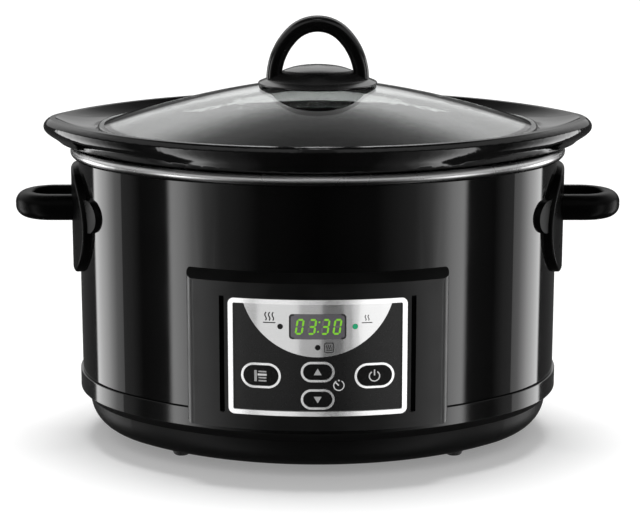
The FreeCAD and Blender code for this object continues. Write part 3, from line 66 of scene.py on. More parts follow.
# Studio light: an even glow, a wide soft sun overhead as the key, and a fill lamp in front
AMBIENT = 0.32
KEY_STRENGTH = 2.55
KEY_SPREAD = 34.0
KEY_TILT = -7.0
FILL_POWER = 8.0
FILL_SIZE = 1.2
FILL_PLACE = (0.0, -1.5, 0.9)
FILL_TARGET = (0.0, 0.0, 0.12)
FLOOR_SIZE = 24.0
FLOOR_WHITE = 0.8
FLOOR_GLOW = 0.24

# Surroundings as the gloss sees them. Degrees run round from the front, or up from the horizon.
HALF_TURN = 180.0
QUARTER_TURN = 90.0

# Upright softboxes on both sides: degrees round, and strength
STRIP_STOPS = [
    (0.0, 0.01), (24.0, 0.05), (40.0, 0.33), (48.0, 0.9), (53.0, 2.0),
    (57.0, 3.4), (62.5, 4.5), (64.5, 0.1), (78.0, 0.05), (87.0, 0.4),
    (96.0, 1.5), (107.0, 3.4), (122.0, 4.7), (124.5, 0.1), (180.0, 0.08),
]
STRIP_TOP = 7.0
STRIP_FADE = 4.0

# Backdrop and ceiling behind the cooker: degrees up, and strength
BACKDROP_STOPS = [
    (0.0, 0.85), (13.0, 0.9), (22.0, 1.05), (32.0, 1.5), (36.0, 1.4),
    (40.0, 0.85), (44.0, 0.42), (52.0, 0.18), (75.0, 0.25), (90.0, 0.35),
]
# Wall and ceiling in front of it
FRONT_STOPS = [
    (0.0, 0.03), (14.0, 0.06), (20.0, 0.6), (45.0, 0.6), (55.0, 0.04),
    (84.0, 0.04), (90.0, 0.15),
]
FRONT_EDGE = 95.0
BEHIND_EDGE = 130.0

# The same wall where a small lamp hangs above the camera
LAMP_STOPS = [
    (0.0, 0.03), (14.0, 0.05), (20.0, 0.2), (45.0, 0.2), (53.0, 0.05),
    (55.0, 2.2), (65.0, 2.2), (67.0, 0.05), (84.0, 0.04), (90.0, 0.15),
]
LAMP_EDGE = 6.0
LAMP_FADE = 4.0

# Dark floor below the softboxes, which starts higher at the sides
NEAR_FLOOR_EDGE = -60.0
SIDE_FLOOR_EDGE = -30.0
SIDE_START = 70.0
FLOOR_TONE = 0.06


# Materials

# Part of the noise's range over which mottled tone and gloss run
MOTTLE_LOW = 0.3
MOTTLE_HIGH = 0.7
MOTTLE_DETAIL = 3.0
GRAIN_DETAIL = 2.0

# Upright grooves of the control housing, whose shine is taken out as painted shade for their depth
GROOVE_MIDDLE = 55.9 * MM
GROOVE_HALF_WIDTH = 1.4 * MM
GROOVE_BOTTOM = 47.5 * MM
GROOVE_TOP = 117.4 * MM
GROOVE_SHINE = 0.0
PLAIN_SHINE = 0.5

# Seam between the base's satin bowl and its polished band, each with its roughness and shine
BAND_HEIGHT = 11.6 * MM
BAND_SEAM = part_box("outer_shell")[0].z - BAND_HEIGHT
SEAM_FADE = 0.1 * MM
SATIN_BOWL = (0.42, 0.12)
POLISHED_BAND = (0.1, 0.5)

# Upward part of the normal over which the painted shade on the rolled rim fades into the steel's own colour
UNDERSIDE_START = -0.2
UNDERSIDE_END = 0.1
UNDERSIDE_SHADE = 0.04


def feed(tree, socket, value):
    """Set a plain number on a socket, or link another socket to it."""
    if isinstance(value, (int, float)):
        socket.default_value = value
    else:
        tree.links.new(value, socket)


def math_node(tree, operation, *values):
    node = tree.nodes.new("ShaderNodeMath")
    node.operation = operation
    for socket, value in zip(node.inputs, values):
        feed(tree, socket, value)
    return node.outputs[0]


def slope(tree, value, start, end, low=0.0, high=1.0):
    """Low up to the start, high from the end on, and a straight run between them."""
    node = tree.nodes.new("ShaderNodeMapRange")
    node.inputs["From Min"].default_value = start
    node.inputs["From Max"].default_value = end
    node.inputs["To Min"].default_value = low
    node.inputs["To Max"].default_value = high
    tree.links.new(value, node.inputs["Value"])
    return node.outputs["Result"]


def own_place(tree):
    """X, Y and Z of a point in its piece's own coordinates."""
    place = tree.nodes.new("ShaderNodeTexCoord")
    split = tree.nodes.new("ShaderNodeSeparateXYZ")
    tree.links.new(place.outputs["Object"], split.inputs["Vector"])
    return split.outputs


def noise_value(tree, scale, detail, stretch):
    place = tree.nodes.new("ShaderNodeTexCoord")
    mapping = tree.nodes.new("ShaderNodeMapping")
    mapping.inputs["Scale"].default_value = stretch
    noise = tree.nodes.new("ShaderNodeTexNoise")
    noise.inputs["Scale"].default_value = scale
    noise.inputs["Detail"].default_value = detail
    tree.links.new(place.outputs["Object"], mapping.inputs["Vector"])
    tree.links.new(mapping.outputs["Vector"], noise.inputs["Vector"])
    return noise.outputs["Fac"]


def finish(name, colour, roughness, tone=0.12, tone_scale=60.0, rough_spread=0.15,
           grain=0.0, grain_scale=1500.0, stretch=(1.0, 1.0, 1.0), **sockets):
    """Material with mottled colour and gloss, and a fine grain raised by the given depth in metres."""
    material = bpy.data.materials.new(name)
    material.use_nodes = True
    tree = material.node_tree
    shader = tree.nodes["Principled BSDF"]
    for socket, value in sockets.items():
        shader.inputs[socket.replace("_", " ")].default_value = value
    mottle = noise_value(tree, tone_scale, MOTTLE_DETAIL, stretch)
    ramp = tree.nodes.new("ShaderNodeValToRGB")
    stops = zip(ramp.color_ramp.elements, (MOTTLE_LOW, MOTTLE_HIGH), (1 - tone, 1 + tone))
    for stop, position, share in stops:
        stop.position = position
        stop.color = [channel * share for channel in colour] + [1.0]
    tree.links.new(mottle, ramp.inputs["Fac"])
    tree.links.new(ramp.outputs["Color"], shader.inputs["Base Color"])
    smoothest = roughness * (1 - rough_spread)
    roughest = roughness * (1 + rough_spread)
    gloss = slope(tree, mottle, MOTTLE_LOW, MOTTLE_HIGH, smoothest, roughest)
    tree.links.new(gloss, shader.inputs["Roughness"])
    if grain:
        bump = tree.nodes.new("ShaderNodeBump")
        bump.inputs["Distance"].default_value = grain
        tree.links.new(noise_value(tree, grain_scale, GRAIN_DETAIL, stretch), bump.inputs["Height"])
        tree.links.new(bump.outputs["Normal"], shader.inputs["Normal"])
    return material


def grey(value):
    return (value, value, value)


def two_gloss(material, height, low, high):
    """Roughness and shine that change at one height, for a moulding with a satin and a polished part."""
    tree = material.node_tree
    shader = tree.nodes["Principled BSDF"]
    rise = own_place(tree)["Z"]
    for socket, below, above in zip(("Roughness", "Specular IOR Level"), low, high):
        step = slope(tree, rise, height - SEAM_FADE, height + SEAM_FADE, below, above)
        tree.links.new(step, shader.inputs[socket])


def drop_groove_shine_for_shade(material, middle, half_width, low, high):
    """No shine in the two upright grooves that stand at plus and minus the middle, as painted shade for
    their depth.
    """
    tree = material.node_tree
    shader = tree.nodes["Principled BSDF"]
    place = own_place(tree)
    aside = math_node(tree, "ABSOLUTE", place["X"])
    across = math_node(tree, "COMPARE", aside, middle, half_width)
    upright = math_node(tree, "COMPARE", place["Z"], (low + high) / 2, (high - low) / 2)
    inside = math_node(tree, "MULTIPLY", across, upright)
    shine = slope(tree, inside, 0.0, 1.0, PLAIN_SHINE, GROOVE_SHINE)
    tree.links.new(shine, shader.inputs["Specular IOR Level"])


def paint_underside_shade(material, shade):
    """Painted shade: darker colour where a surface faces down, standing in for the shadow under a rolled
    edge.
    """
    tree = material.node_tree
    shader = tree.nodes["Principled BSDF"]
    colour = shader.inputs["Base Color"].links[0].from_socket
    surface = tree.nodes.new("ShaderNodeNewGeometry")
    split = tree.nodes.new("ShaderNodeSeparateXYZ")
    tree.links.new(surface.outputs["Normal"], split.inputs["Vector"])
    facing = slope(tree, split.outputs["Z"], UNDERSIDE_START, UNDERSIDE_END)
    mix = tree.nodes.new("ShaderNodeMix")
    mix.data_type = "RGBA"
    mix.inputs["A"].default_value = (*grey(shade), 1.0)
    tree.links.new(facing, mix.inputs["Factor"])
    tree.links.new(colour, mix.inputs["B"])
    tree.links.new(mix.outputs["Result"], shader.inputs["Base Color"])


enamel = finish("shell_enamel", grey(0.0009), 0.07, tone_scale=30.0, grain=0.000003, grain_scale=260.0)
glaze = finish("stoneware_glaze", grey(0.0015), 0.06, tone=0.3, tone_scale=45.0,
               grain=0.000003, grain_scale=90.0)
glass = finish("lid_glass", (0.78, 0.8, 0.79), 0.012, tone=0.01, rough_spread=0.4,
               Transmission_Weight=1.0, IOR=1.5)
knob_black = finish("knob_plastic", grey(0.0015), 0.16, grain=0.000004, grain_scale=900.0)
handle_black = finish("handle_plastic", grey(0.0012), 0.3, grain=0.000004, grain_scale=900.0,
                      Specular_IOR_Level=0.045)
housing_black = finish("panel_plastic", grey(0.0012), 0.38, grain=0.000008, grain_scale=2200.0)
# Painted shade: the grooves lose their shine so they read dark, as deep grooves in shade do
drop_groove_shine_for_shade(housing_black, GROOVE_MIDDLE, GROOVE_HALF_WIDTH, GROOVE_BOTTOM, GROOVE_TOP)
base_black = finish("base_plastic", grey(0.002), 0.35, grain=0.000006, grain_scale=2200.0)
two_gloss(base_black, BAND_SEAM, SATIN_BOWL, POLISHED_BAND)
bright_steel = finish("bright_steel", grey(0.62), 0.28, tone=0.05, tone_scale=25.0, Metallic=1.0)
# Painted shade on the downward faces of the heating well's rolled rim
paint_underside_shade(bright_steel, UNDERSIDE_SHADE)
plated_steel = finish("plated_steel", (0.62, 0.61, 0.58), 0.3, tone_scale=300.0, Metallic=1.0)
heater_foil = finish("heater_foil", (0.55, 0.52, 0.46), 0.35, grain=0.0001, grain_scale=160.0, Metallic=1.0)
fuse_metal = finish("fuse_metal", (0.7, 0.66, 0.6), 0.3, tone_scale=400.0, Metallic=1.0)
rubber = finish("rubber", grey(0.012), 0.65, tone=0.2, tone_scale=400.0, grain=0.00002)
bright_trim = finish("bright_trim", grey(0.9), 0.16, tone=0.03, tone_scale=500.0, Metallic=0.75)
silver = finish("segment_silver", grey(0.74), 0.1, tone=0.02, tone_scale=160.0, grain=0.0000006,
                grain_scale=700.0, stretch=(0.05, 1.0, 6.0), Metallic=0.85)
charcoal = finish("overlay_plastic", grey(0.003), 0.3, tone=0.1, tone_scale=800.0, grain=0.000004,
                  Specular_IOR_Level=0.3)
window_tint = finish("window_plastic", (0.086, 0.082, 0.09), 0.12, tone=0.06, tone_scale=120.0)
window_edge = finish("window_edge", grey(0.03), 0.25, tone_scale=600.0)
module_black = finish("module_plastic", grey(0.02), 0.5, tone_scale=400.0)
lamp_lit = finish("lamp_lit", (0.0, 0.2, 0.085), 0.16, tone_scale=900.0,
                  Emission_Color=(0.0, 0.4, 0.17, 1.0), Emission_Strength=0.25)
lamp_off = finish("lamp_off", grey(0.003), 0.1, tone_scale=900.0, Specular_IOR_Level=0.25)
button_black = finish("button_plastic", grey(0.007), 0.24, tone_scale=500.0, grain=0.000004)
laminate = finish("board_laminate", (0.02, 0.12, 0.05), 0.4, tone_scale=300.0, grain=0.00001)
switch_black = finish("switch_plastic", grey(0.015), 0.45, tone_scale=500.0, grain=0.000006)
capacitor_sleeve = finish("capacitor_can", (0.02, 0.025, 0.05), 0.3, tone_scale=500.0)
digit_lit = finish("digit_lit", (0.08, 0.2, 0.015), 0.4, tone=0.08, tone_scale=2500.0,
                   Emission_Color=(0.18, 0.52, 0.015, 1.0), Emission_Strength=0.8)
digit_ghost = finish("digit_ghost", (0.15, 0.14, 0.14), 0.4, tone=0.08, tone_scale=2500.0)
print_dark = finish("print_dark", grey(0.012), 0.45, tone_scale=2500.0)
print_grey = finish("print_grey", grey(0.36), 0.45, tone=0.06, tone_scale=2500.0)
print_pale = finish("print_pale", grey(0.62), 0.45, tone=0.06, tone_scale=2500.0)

FINISHES = {
    enamel: ["outer_shell"],
    glaze: ["crock"],
    glass: ["lid_glass"],
    knob_black: ["lid_knob"],
    handle_black: ["handle_left", "handle_right"],
    housing_black: ["control_housing"],
    base_black: ["base_pan"],
    bright_steel: ["heating_well"],
    heater_foil: ["heating_band"],
    fuse_metal: ["thermal_fuse"],
    plated_steel: [
        "band_clip", "heat_shield", "fuse_bracket", "base_stud", "base_washer", "base_nut",
        "handle_screws", "housing_screws", "board_screws", "power_screws", "knob_screw",
    ],
    rubber: ["feet", "knob_seal", "cord_inlet"],
    bright_trim: ["panel_frame", "button_rings"],
    charcoal: ["panel_overlay"],
    silver: ["silver_segment"],
    window_tint: ["display_window"],
    module_black: ["display_module"],
    lamp_lit: ["indicator_lit"],
    lamp_off: ["indicators_off"],
    button_black: ["button_menu", "button_up", "button_down", "button_power"],
    laminate: ["control_board", "power_board"],
    switch_black: ["tact_switches", "power_relay"],
    capacitor_sleeve: ["power_capacitor"],
}
for material, names in FINISHES.items():
    for name in names:
        slots = nodes[name].data.materials
        slots.clear()
        slots.append(material)


# Printed and lit signs: thin raised shapes that follow the face they lie on

SIGN_HEIGHT = 0.06 * MM
SIGN_SINK = 0.04 * MM
LOOK_FROM = 0.1
STEAM_HALF_TURNS = 2.2
faces = {}


def face_y(node, x, z):
    """Y of a node's front surface at a place seen from the front."""
    if node not in faces:
        mesh = nodes[node].data
        corners = [vertex.co for vertex in mesh.vertices]
        faces[node] = BVHTree.FromPolygons(corners, [polygon.vertices for polygon in mesh.polygons])
    hit = faces[node].ray_cast(Vector((x, cad_box[0].y - LOOK_FROM, z)), Vector((0, 1, 0)))
    return hit[0].y


def centre_of(node):
    low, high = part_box(node)
    return (low.x + high.x) / 2, (low.z + high.z) / 2


def ribbon(points, width, closed=False):
    """Strip along a line of (x, z) points, as its left and right edges."""
    count = len(points)
    left, right = [], []
    for i, (x, z) in enumerate(points):
        before = points[i - 1] if closed or i else points[i]
        after = points[(i + 1) % count] if closed or i + 1 < count else points[i]
        run = Vector((after[0] - before[0], after[1] - before[1])).normalized()
        left.append((x - run.y * width / 2, z + run.x * width / 2))
        right.append((x + run.y * width / 2, z - run.x * width / 2))
    return left, right, closed


def bar(place, start, end, width):
    """Straight strip between two points that are given from a place."""
    x, z = place
    return ribbon([(x + start[0], z + start[1]), (x + end[0], z + end[1])], width)


def plate(points):
    """Filled outline as two halves of its edge, from its first point round to its last."""
    half = len(points) // 2
    far = points[half:][::-1]
    near = points[:half]
    return near, far, False


def sign(name, node, strips, material, body):
    """One raised piece made of strips that lie on a node's front face."""
    made = bmesh.new()
    for left, right, closed in strips:
        rows = []
        for (lx, lz), (rx, rz) in zip(left, right):
            ly = face_y(node, lx, lz)
            ry = face_y(node, rx, rz)
            rows.append([
                made.verts.new((lx, ly - SIGN_HEIGHT, lz)),
                made.verts.new((rx, ry - SIGN_HEIGHT, rz)),
                made.verts.new((rx, ry + SIGN_SINK, rz)),
                made.verts.new((lx, ly + SIGN_SINK, lz)),
            ])
        pairs = list(zip(rows, rows[1:]))
        if closed:
            pairs.append((rows[-1], rows[0]))
        for first, second in pairs:
            for k in range(4):
                made.faces.new((first[k], first[(k + 1) % 4], second[(k + 1) % 4], second[k]))
        if not closed:
            made.faces.new(rows[0])
            made.faces.new(rows[-1][::-1])
    bmesh.ops.recalc_face_normals(made, faces=made.faces)
    mesh = bpy.data.meshes.new(name)
    made.to_mesh(mesh)
    made.free()
    mesh.materials.append(material)
    piece = bpy.data.objects.new(name, mesh)
    scene.collection.objects.link(piece)
    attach(piece, body)


def arc(centre, radius, start, end, steps=28):
    """Points on a circle; degrees run clockwise from the top."""
    points = []
    for i in range(steps + 1):
        turn = math.radians(start + (end - start) * i / steps)
        points.append((centre[0] + radius * math.sin(turn), centre[1] + radius * math.cos(turn)))
    return points


def rounded_box(centre, width, height, radius, steps=6):
    points = []
    for corner, (sx, sz) in enumerate(((1, 1), (1, -1), (-1, -1), (-1, 1))):
        middle = (centre[0] + sx * (width / 2 - radius), centre[1] + sz * (height / 2 - radius))
        points += arc(middle, radius, 90 * corner, 90 * corner + 90, steps)
    return points


def wave(x, low, high, swing, steps=14):
    """Rising line of steam that swings to both sides."""
    points = []
    for i in range(steps + 1):
        share = i / steps
        points.append((x + swing * math.sin(share * STEAM_HALF_TURNS * math.pi), low + (high - low) * share))
    return points


def steam(place, shifts, low, high, swing, width):
    """Strips of rising steam side by side; all lengths are given from a place."""
    x, z = place
    return [ribbon(wave(x + shift, z + low, z + high, swing), width) for shift in shifts]


# Display: four seven-segment digits and a colon
DIGIT_WIDTH = 3.5 * MM
DIGIT_HEIGHT = 8.3 * MM
DIGIT_STROKE = 1.15 * MM
DIGIT_GAP = 0.2 * MM
DIGIT_SLANT = 0.15
DIGIT_TIP = 0.1
DIGIT_PLACES = [-10.4 * MM, -3.2 * MM, 4.5 * MM, 11.4 * MM]
DIGIT_LIT = ["abcdef", "abcdg", "abcdg", "abcdef"]
SEGMENTS = {
    "a": ((-1, 1), (1, 1)), "b": ((1, 1), (1, 0)), "c": ((1, 0), (1, -1)), "d": ((1, -1), (-1, -1)),
    "e": ((-1, -1), (-1, 0)), "f": ((-1, 0), (-1, 1)), "g": ((-1, 0), (1, 0)),
}
COLON_PLACE = 0.6 * MM
COLON_RISES = [2.8 * MM, -2.9 * MM]
COLON_SIZE = 1.0 * MM
COLON_ROUND = 0.3 * MM
BEZEL = 0.9 * MM
BEZEL_ROUND = 1.6 * MM
window_x, window_z = centre_of("display_window")


def slanted(x, z):
    return window_x + x + z * DIGIT_SLANT, window_z + z


def digit_segment(place, letter):
    """One bevelled bar of a digit."""
    (ax, az), (bx, bz) = SEGMENTS[letter]
    start = Vector((place + ax * DIGIT_WIDTH / 2, az * DIGIT_HEIGHT / 2))
    end = Vector((place + bx * DIGIT_WIDTH / 2, bz * DIGIT_HEIGHT / 2))
    run = (end - start).normalized()
    side = Vector((-run.y, run.x)) * DIGIT_STROKE / 2
    start += run * DIGIT_GAP
    end -= run * DIGIT_GAP
    shoulder = run * DIGIT_STROKE / 2
    tip = side * DIGIT_TIP
    left = [start + tip, start + shoulder + side, end - shoulder + side, end + tip]
    right = [start - tip, start + shoulder - side, end - shoulder - side, end - tip]
    return [slanted(*p) for p in left], [slanted(*p) for p in right], False


lit, ghost = [], []
for place, letters in zip(DIGIT_PLACES, DIGIT_LIT):
    for letter in SEGMENTS:
        (lit if letter in letters else ghost).append(digit_segment(place, letter))
colon_edge = rounded_box((0, 0), COLON_SIZE, COLON_SIZE, COLON_ROUND, 3)
for rise in COLON_RISES:
    lit.append(plate([slanted(COLON_PLACE + x, rise + z) for x, z in colon_edge]))
sign("display_digits", "display_window", lit, digit_lit, "base")
sign("display_unlit_segments", "display_window", ghost, digit_ghost, "base")

window_low, window_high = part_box("display_window")
bezel_line = rounded_box(
    (window_x, window_z),
    window_high.x - window_low.x - BEZEL,
    window_high.z - window_low.z - BEZEL,
    BEZEL_ROUND,
)
bezel = [ribbon(bezel_line, BEZEL, True)]
sign("display_edge", "display_window", bezel, window_edge, "base")

# Symbols on the silver inlay and the face plate
HIGH_HEAT = (-28.0 * MM, 102.9 * MM)
HIGH_HEAT_HALF = 3.6 * MM
HIGH_HEAT_SHIFTS = [-2.1 * MM, 0.0, 2.1 * MM]
LOW_HEAT = (28.5 * MM, 102.8 * MM)
LOW_HEAT_HALF = 3.1 * MM
LOW_HEAT_SHIFTS = [-0.85 * MM, 0.85 * MM]
KEEP_WARM = (6.5 * MM, 88.3 * MM)
KEEP_WARM_WIDTH = 5.0 * MM
KEEP_WARM_HEIGHT = 5.6 * MM
KEEP_WARM_ROUND = 0.7 * MM
KEEP_WARM_SHIFTS = [-1.1 * MM, 0.0, 1.1 * MM]
POT_HALF = 1.5 * MM
POT_DROP = -1.7 * MM
TIMER = (12.3 * MM, 65.5 * MM)
TIMER_RADIUS = 3.0 * MM
TIMER_HAND = (-2.0 * MM, 1.9 * MM)
TIMER_DOT_RADIUS = 0.5 * MM
TIMER_DOT_SIDES = 12

high_heat = [bar(HIGH_HEAT, (-HIGH_HEAT_HALF, 0.0), (HIGH_HEAT_HALF, 0.0), width=0.6 * MM)]
high_heat += steam(
    HIGH_HEAT, HIGH_HEAT_SHIFTS, low=1.2 * MM, high=6.2 * MM, swing=0.42 * MM, width=0.7 * MM)
sign("high_heat_symbol", "silver_segment", high_heat, print_dark, "base")

low_heat = [bar(LOW_HEAT, (-LOW_HEAT_HALF, 0.0), (LOW_HEAT_HALF, 0.0), width=0.5 * MM)]
low_heat += steam(
    LOW_HEAT, LOW_HEAT_SHIFTS, low=1.2 * MM, high=4.6 * MM, swing=0.32 * MM, width=0.5 * MM)
sign("low_heat_symbol", "silver_segment", low_heat, print_dark, "base")

pot_edge = rounded_box(KEEP_WARM, KEEP_WARM_WIDTH, KEEP_WARM_HEIGHT, KEEP_WARM_ROUND)
keep_warm = [
    ribbon(pot_edge, 0.5 * MM, True),
    bar(KEEP_WARM, (-POT_HALF, POT_DROP), (POT_HALF, POT_DROP), width=0.45 * MM),
]
keep_warm += steam(
    KEEP_WARM, KEEP_WARM_SHIFTS, low=-1.1 * MM, high=1.9 * MM, swing=0.24 * MM, width=0.42 * MM)
sign("keep_warm_symbol", "silver_segment", keep_warm, print_dark, "base")

dot_end = 360 - 360 / TIMER_DOT_SIDES
timer = [
    ribbon(arc(TIMER, TIMER_RADIUS, start=30, end=330, steps=40), 0.6 * MM),
    bar(TIMER, (0.0, 0.0), TIMER_HAND, width=0.75 * MM),
    plate(arc((TIMER[0], TIMER[1] + TIMER_RADIUS), TIMER_DOT_RADIUS, 0, dot_end, TIMER_DOT_SIDES - 1)),
]
sign("timer_symbol", "panel_overlay", timer, print_pale, "base")

# Symbols on the buttons; the lengths are given from a button's middle
MENU_SPINE = ((-3.1 * MM, -3.7 * MM), (-3.1 * MM, 3.0 * MM))
MENU_ROW_START = -1.4 * MM
MENU_ROW_END = 3.2 * MM
MENU_ROW_RISES = [2.3 * MM, -1.4 * MM, -3.2 * MM]
MENU_CHOICE = ((-1.9 * MM, 0.45 * MM), (3.4 * MM, 0.45 * MM))
ARROW_HALF_WIDTH = 2.3 * MM
ARROW_HALF_HEIGHT = 1.9 * MM
ARROW_TIP = 0.12 * MM
DOWN_ARROW_SHIFT = -0.3 * MM
POWER_DROP = -0.4 * MM
POWER_RADIUS = 3.0 * MM
POWER_STROKE_TOP = 3.5 * MM

menu_middle = centre_of("button_menu")
menu_bars = [bar(menu_middle, *MENU_SPINE, width=1.5 * MM)]
for rise in MENU_ROW_RISES:
    menu_bars.append(bar(menu_middle, (MENU_ROW_START, rise), (MENU_ROW_END, rise), width=0.9 * MM))
sign("menu_list_symbol", "button_menu", menu_bars, print_grey, "button_menu")
chosen = [bar(menu_middle, *MENU_CHOICE, width=1.25 * MM)]
sign("menu_choice_symbol", "button_menu", chosen, print_pale, "button_menu")

for name, way, shift in (("up", 1, 0.0), ("down", -1, DOWN_ARROW_SHIFT)):
    arrow_x, arrow_z = centre_of("button_" + name)
    arrow_z += shift
    tip = arrow_z + way * ARROW_HALF_HEIGHT
    foot = arrow_z - way * ARROW_HALF_HEIGHT
    left = [(arrow_x - ARROW_HALF_WIDTH, foot), (arrow_x - ARROW_TIP, tip)]
    right = [(arrow_x + ARROW_HALF_WIDTH, foot), (arrow_x + ARROW_TIP, tip)]
    sign(name + "_arrow_symbol", "button_" + name, [(left, right, False)], print_grey,
         "button_" + name)

power_x, power_z = centre_of("button_power")
power = [
    ribbon(arc((power_x, power_z + POWER_DROP), POWER_RADIUS, start=32, end=328, steps=40), 0.7 * MM),
    bar((power_x, power_z), (0.0, 0.0), (0.0, POWER_STROKE_TOP), width=0.75 * MM),
]
sign("power_symbol", "button_power", power, print_pale, "button_power")


# Stage: studio surroundings, white floor, key, fill lamp, cards for the panel, and the camera

def curve_of(tree, value, stops, span):
    """Strength looked up from (degrees, strength) stops."""
    ramp = tree.nodes.new("ShaderNodeValToRGB")
    elements = ramp.color_ramp.elements
    while len(elements) < len(stops):
        elements.new(0.5)
    for element, (degrees, strength) in zip(elements, stops):
        element.position = degrees / span
        element.color = (*grey(strength), 1.0)
    tree.links.new(math_node(tree, "DIVIDE", value, span), ramp.inputs["Fac"])
    return ramp.outputs["Color"]


def blend_values(tree, share, low, high):
    """Low where the share is 0, high where it is 1."""
    mix = tree.nodes.new("ShaderNodeMix")
    tree.links.new(share, mix.inputs["Factor"])
    feed(tree, mix.inputs["A"], low)
    feed(tree, mix.inputs["B"], high)
    return mix.outputs["Result"]


world = bpy.data.worlds.new("studio")
scene.world = world
world.use_nodes = True
world.cycles.sampling_method = "NONE"
tree = world.node_tree
background = tree.nodes["Background"]
background.inputs["Color"].default_value = (1.0, 1.0, 1.0, 1.0)
direction = tree.nodes.new("ShaderNodeSeparateXYZ")
tree.links.new(tree.nodes.new("ShaderNodeTexCoord").outputs["Generated"], direction.inputs["Vector"])
forward = math_node(tree, "MULTIPLY", direction.outputs["Y"], -1.0)
round_angle = math_node(tree, "ARCTAN2", direction.outputs["X"], forward)
azimuth = math_node(tree, "DEGREES", math_node(tree, "ABSOLUTE", round_angle))
elevation = math_node(tree, "DEGREES", math_node(tree, "ARCSINE", direction.outputs["Z"]))

# Upper part: the wall in front with its small lamp, and the backdrop behind
small_lamp = curve_of(tree, elevation, LAMP_STOPS, QUARTER_TURN)
front = curve_of(tree, elevation, FRONT_STOPS, QUARTER_TURN)
backdrop = curve_of(tree, elevation, BACKDROP_STOPS, QUARTER_TURN)
beside_lamp = slope(tree, azimuth, LAMP_EDGE, LAMP_EDGE + LAMP_FADE)
behind = slope(tree, azimuth, FRONT_EDGE, BEHIND_EDGE)
high_part = blend_values(tree, behind, blend_values(tree, beside_lamp, small_lamp, front), backdrop)

# Lower part: the softboxes over a dark floor
strips = curve_of(tree, azimuth, STRIP_STOPS, HALF_TURN)
over_near = slope(tree, elevation, NEAR_FLOOR_EDGE - STRIP_FADE, NEAR_FLOOR_EDGE)
over_side = slope(tree, elevation, SIDE_FLOOR_EDGE - STRIP_FADE, SIDE_FLOOR_EDGE)
at_side = slope(tree, azimuth, SIDE_START, SIDE_START + STRIP_FADE)
low_part = blend_values(tree, blend_values(tree, at_side, over_near, over_side), FLOOR_TONE, strips)

# The gloss and the glass see these parts, the camera sees plain white, and the rest gets an even glow
above = slope(tree, elevation, STRIP_TOP, STRIP_TOP + STRIP_FADE)
gloss_sees = blend_values(tree, above, low_part, high_part)
path = tree.nodes.new("ShaderNodeLightPath")
mirror = math_node(tree, "MAXIMUM", path.outputs["Is Glossy Ray"], path.outputs["Is Transmission Ray"])
not_camera = blend_values(tree, mirror, AMBIENT, gloss_sees)
seen_strength = blend_values(tree, path.outputs["Is Camera Ray"], not_camera, 1.0)
tree.links.new(seen_strength, background.inputs["Strength"])

floor_mesh = bpy.data.meshes.new("floor")
half = FLOOR_SIZE / 2
floor_mesh.from_pydata(
    [(-half, -half, 0), (half, -half, 0), (half, half, 0), (-half, half, 0)], [], [(0, 1, 2, 3)])
floor = bpy.data.objects.new("floor", floor_mesh)
scene.collection.objects.link(floor)
floor.visible_glossy = False
floor_white = bpy.data.materials.new("floor_white")
floor_white.use_nodes = True
tree = floor_white.node_tree
shader = tree.nodes["Principled BSDF"]
shader.inputs["Base Color"].default_value = (*grey(FLOOR_WHITE), 1.0)
shader.inputs["Roughness"].default_value = 1.0
shader.inputs["Specular IOR Level"].default_value = 0.0
shader.inputs["Emission Color"].default_value = (1.0, 1.0, 1.0, 1.0)
path = tree.nodes.new("ShaderNodeLightPath")
seen = math_node(tree, "MAXIMUM", path.outputs["Is Camera Ray"], path.outputs["Is Glossy Ray"])
seen = math_node(tree, "MAXIMUM", seen, path.outputs["Is Transmission Ray"])
tree.links.new(math_node(tree, "MULTIPLY", seen, FLOOR_GLOW), shader.inputs["Emission Strength"])
floor_mesh.materials.append(floor_white)

key_light = bpy.data.lights.new("key", "SUN")
key_light.angle = math.radians(KEY_SPREAD)
key_light.energy = KEY_STRENGTH
key = bpy.data.objects.new("key", key_light)
key.rotation_euler = (math.radians(KEY_TILT), 0.0, 0.0)
key.visible_glossy = False
scene.collection.objects.link(key)


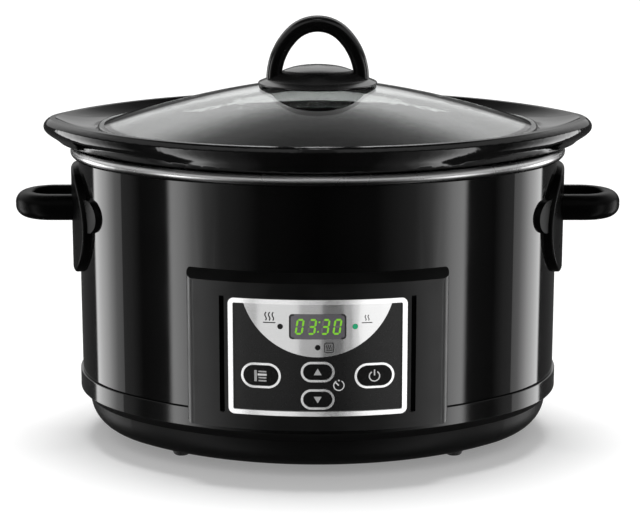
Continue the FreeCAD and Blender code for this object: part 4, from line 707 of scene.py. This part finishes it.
def soft_lamp(name, place, target, width, height, power):
    """Rectangular lamp at a place, turned towards a target."""
    light = bpy.data.lights.new(name, "AREA")
    light.shape = "RECTANGLE"
    light.size = width
    light.size_y = height
    light.energy = power
    lamp = bpy.data.objects.new(name, light)
    lamp.location = place
    lamp.rotation_euler = (Vector(target) - Vector(place)).to_track_quat("-Z", "Y").to_euler()
    scene.collection.objects.link(lamp)
    return lamp


fill = soft_lamp("fill", FILL_PLACE, FILL_TARGET, FILL_SIZE, FILL_SIZE, FILL_POWER)
fill.visible_glossy = False

# Cards that light the panel's face alone: side angle and half width in degrees, and strength
CARDS = [
    (-43.0, 11.0, 1.0), (-16.0, 18.0, 0.38), (-17.0, 9.0, 0.4), (-16.0, 5.0, 0.65),
    (29.5, 18.5, 0.3), (31.5, 16.5, 0.4), (34.0, 16.0, 0.5),
]
CARD_DISTANCE = 0.8
CARD_HEIGHT = 0.7
PANEL_FACE = [
    "silver_segment", "panel_frame", "button_rings", "panel_overlay", "display_window",
    "indicators_off", "indicator_lit",
]
# Sideways step from the inlay's middle, where the window is, to its silver
SILVER_STEP = 20 * MM
panel_x, panel_z = centre_of("silver_segment")
panel_y = face_y("silver_segment", panel_x - SILVER_STEP, panel_z)
panel_face = bpy.data.collections.new("panel_face")
for name in PANEL_FACE:
    panel_face.objects.link(nodes[name])
for number, (turn, half_width, strength) in enumerate(CARDS):
    side = math.radians(turn)
    place = (panel_x + CARD_DISTANCE * math.sin(side), panel_y - CARD_DISTANCE * math.cos(side), panel_z)
    width = 2 * CARD_DISTANCE * math.tan(math.radians(half_width))
    power = strength * math.pi * width * CARD_HEIGHT
    card = soft_lamp("card_%d" % number, place, (panel_x, panel_y, panel_z), width, CARD_HEIGHT, power)
    card.light_linking.receiver_collection = panel_face

camera_data = bpy.data.cameras.new("camera")
camera_data.lens = CAMERA_LENS
camera_data.sensor_width = CAMERA_SENSOR
camera_data.sensor_fit = "HORIZONTAL"
camera_data.shift_x = CAMERA_SHIFT
camera = bpy.data.objects.new("camera", camera_data)
camera.location = CAMERA_PLACE
camera.rotation_euler = (math.pi / 2 - CAMERA_PITCH, 0.0, 0.0)
scene.collection.objects.link(camera)
scene.camera = camera

scene.view_settings.view_transform = "Standard"
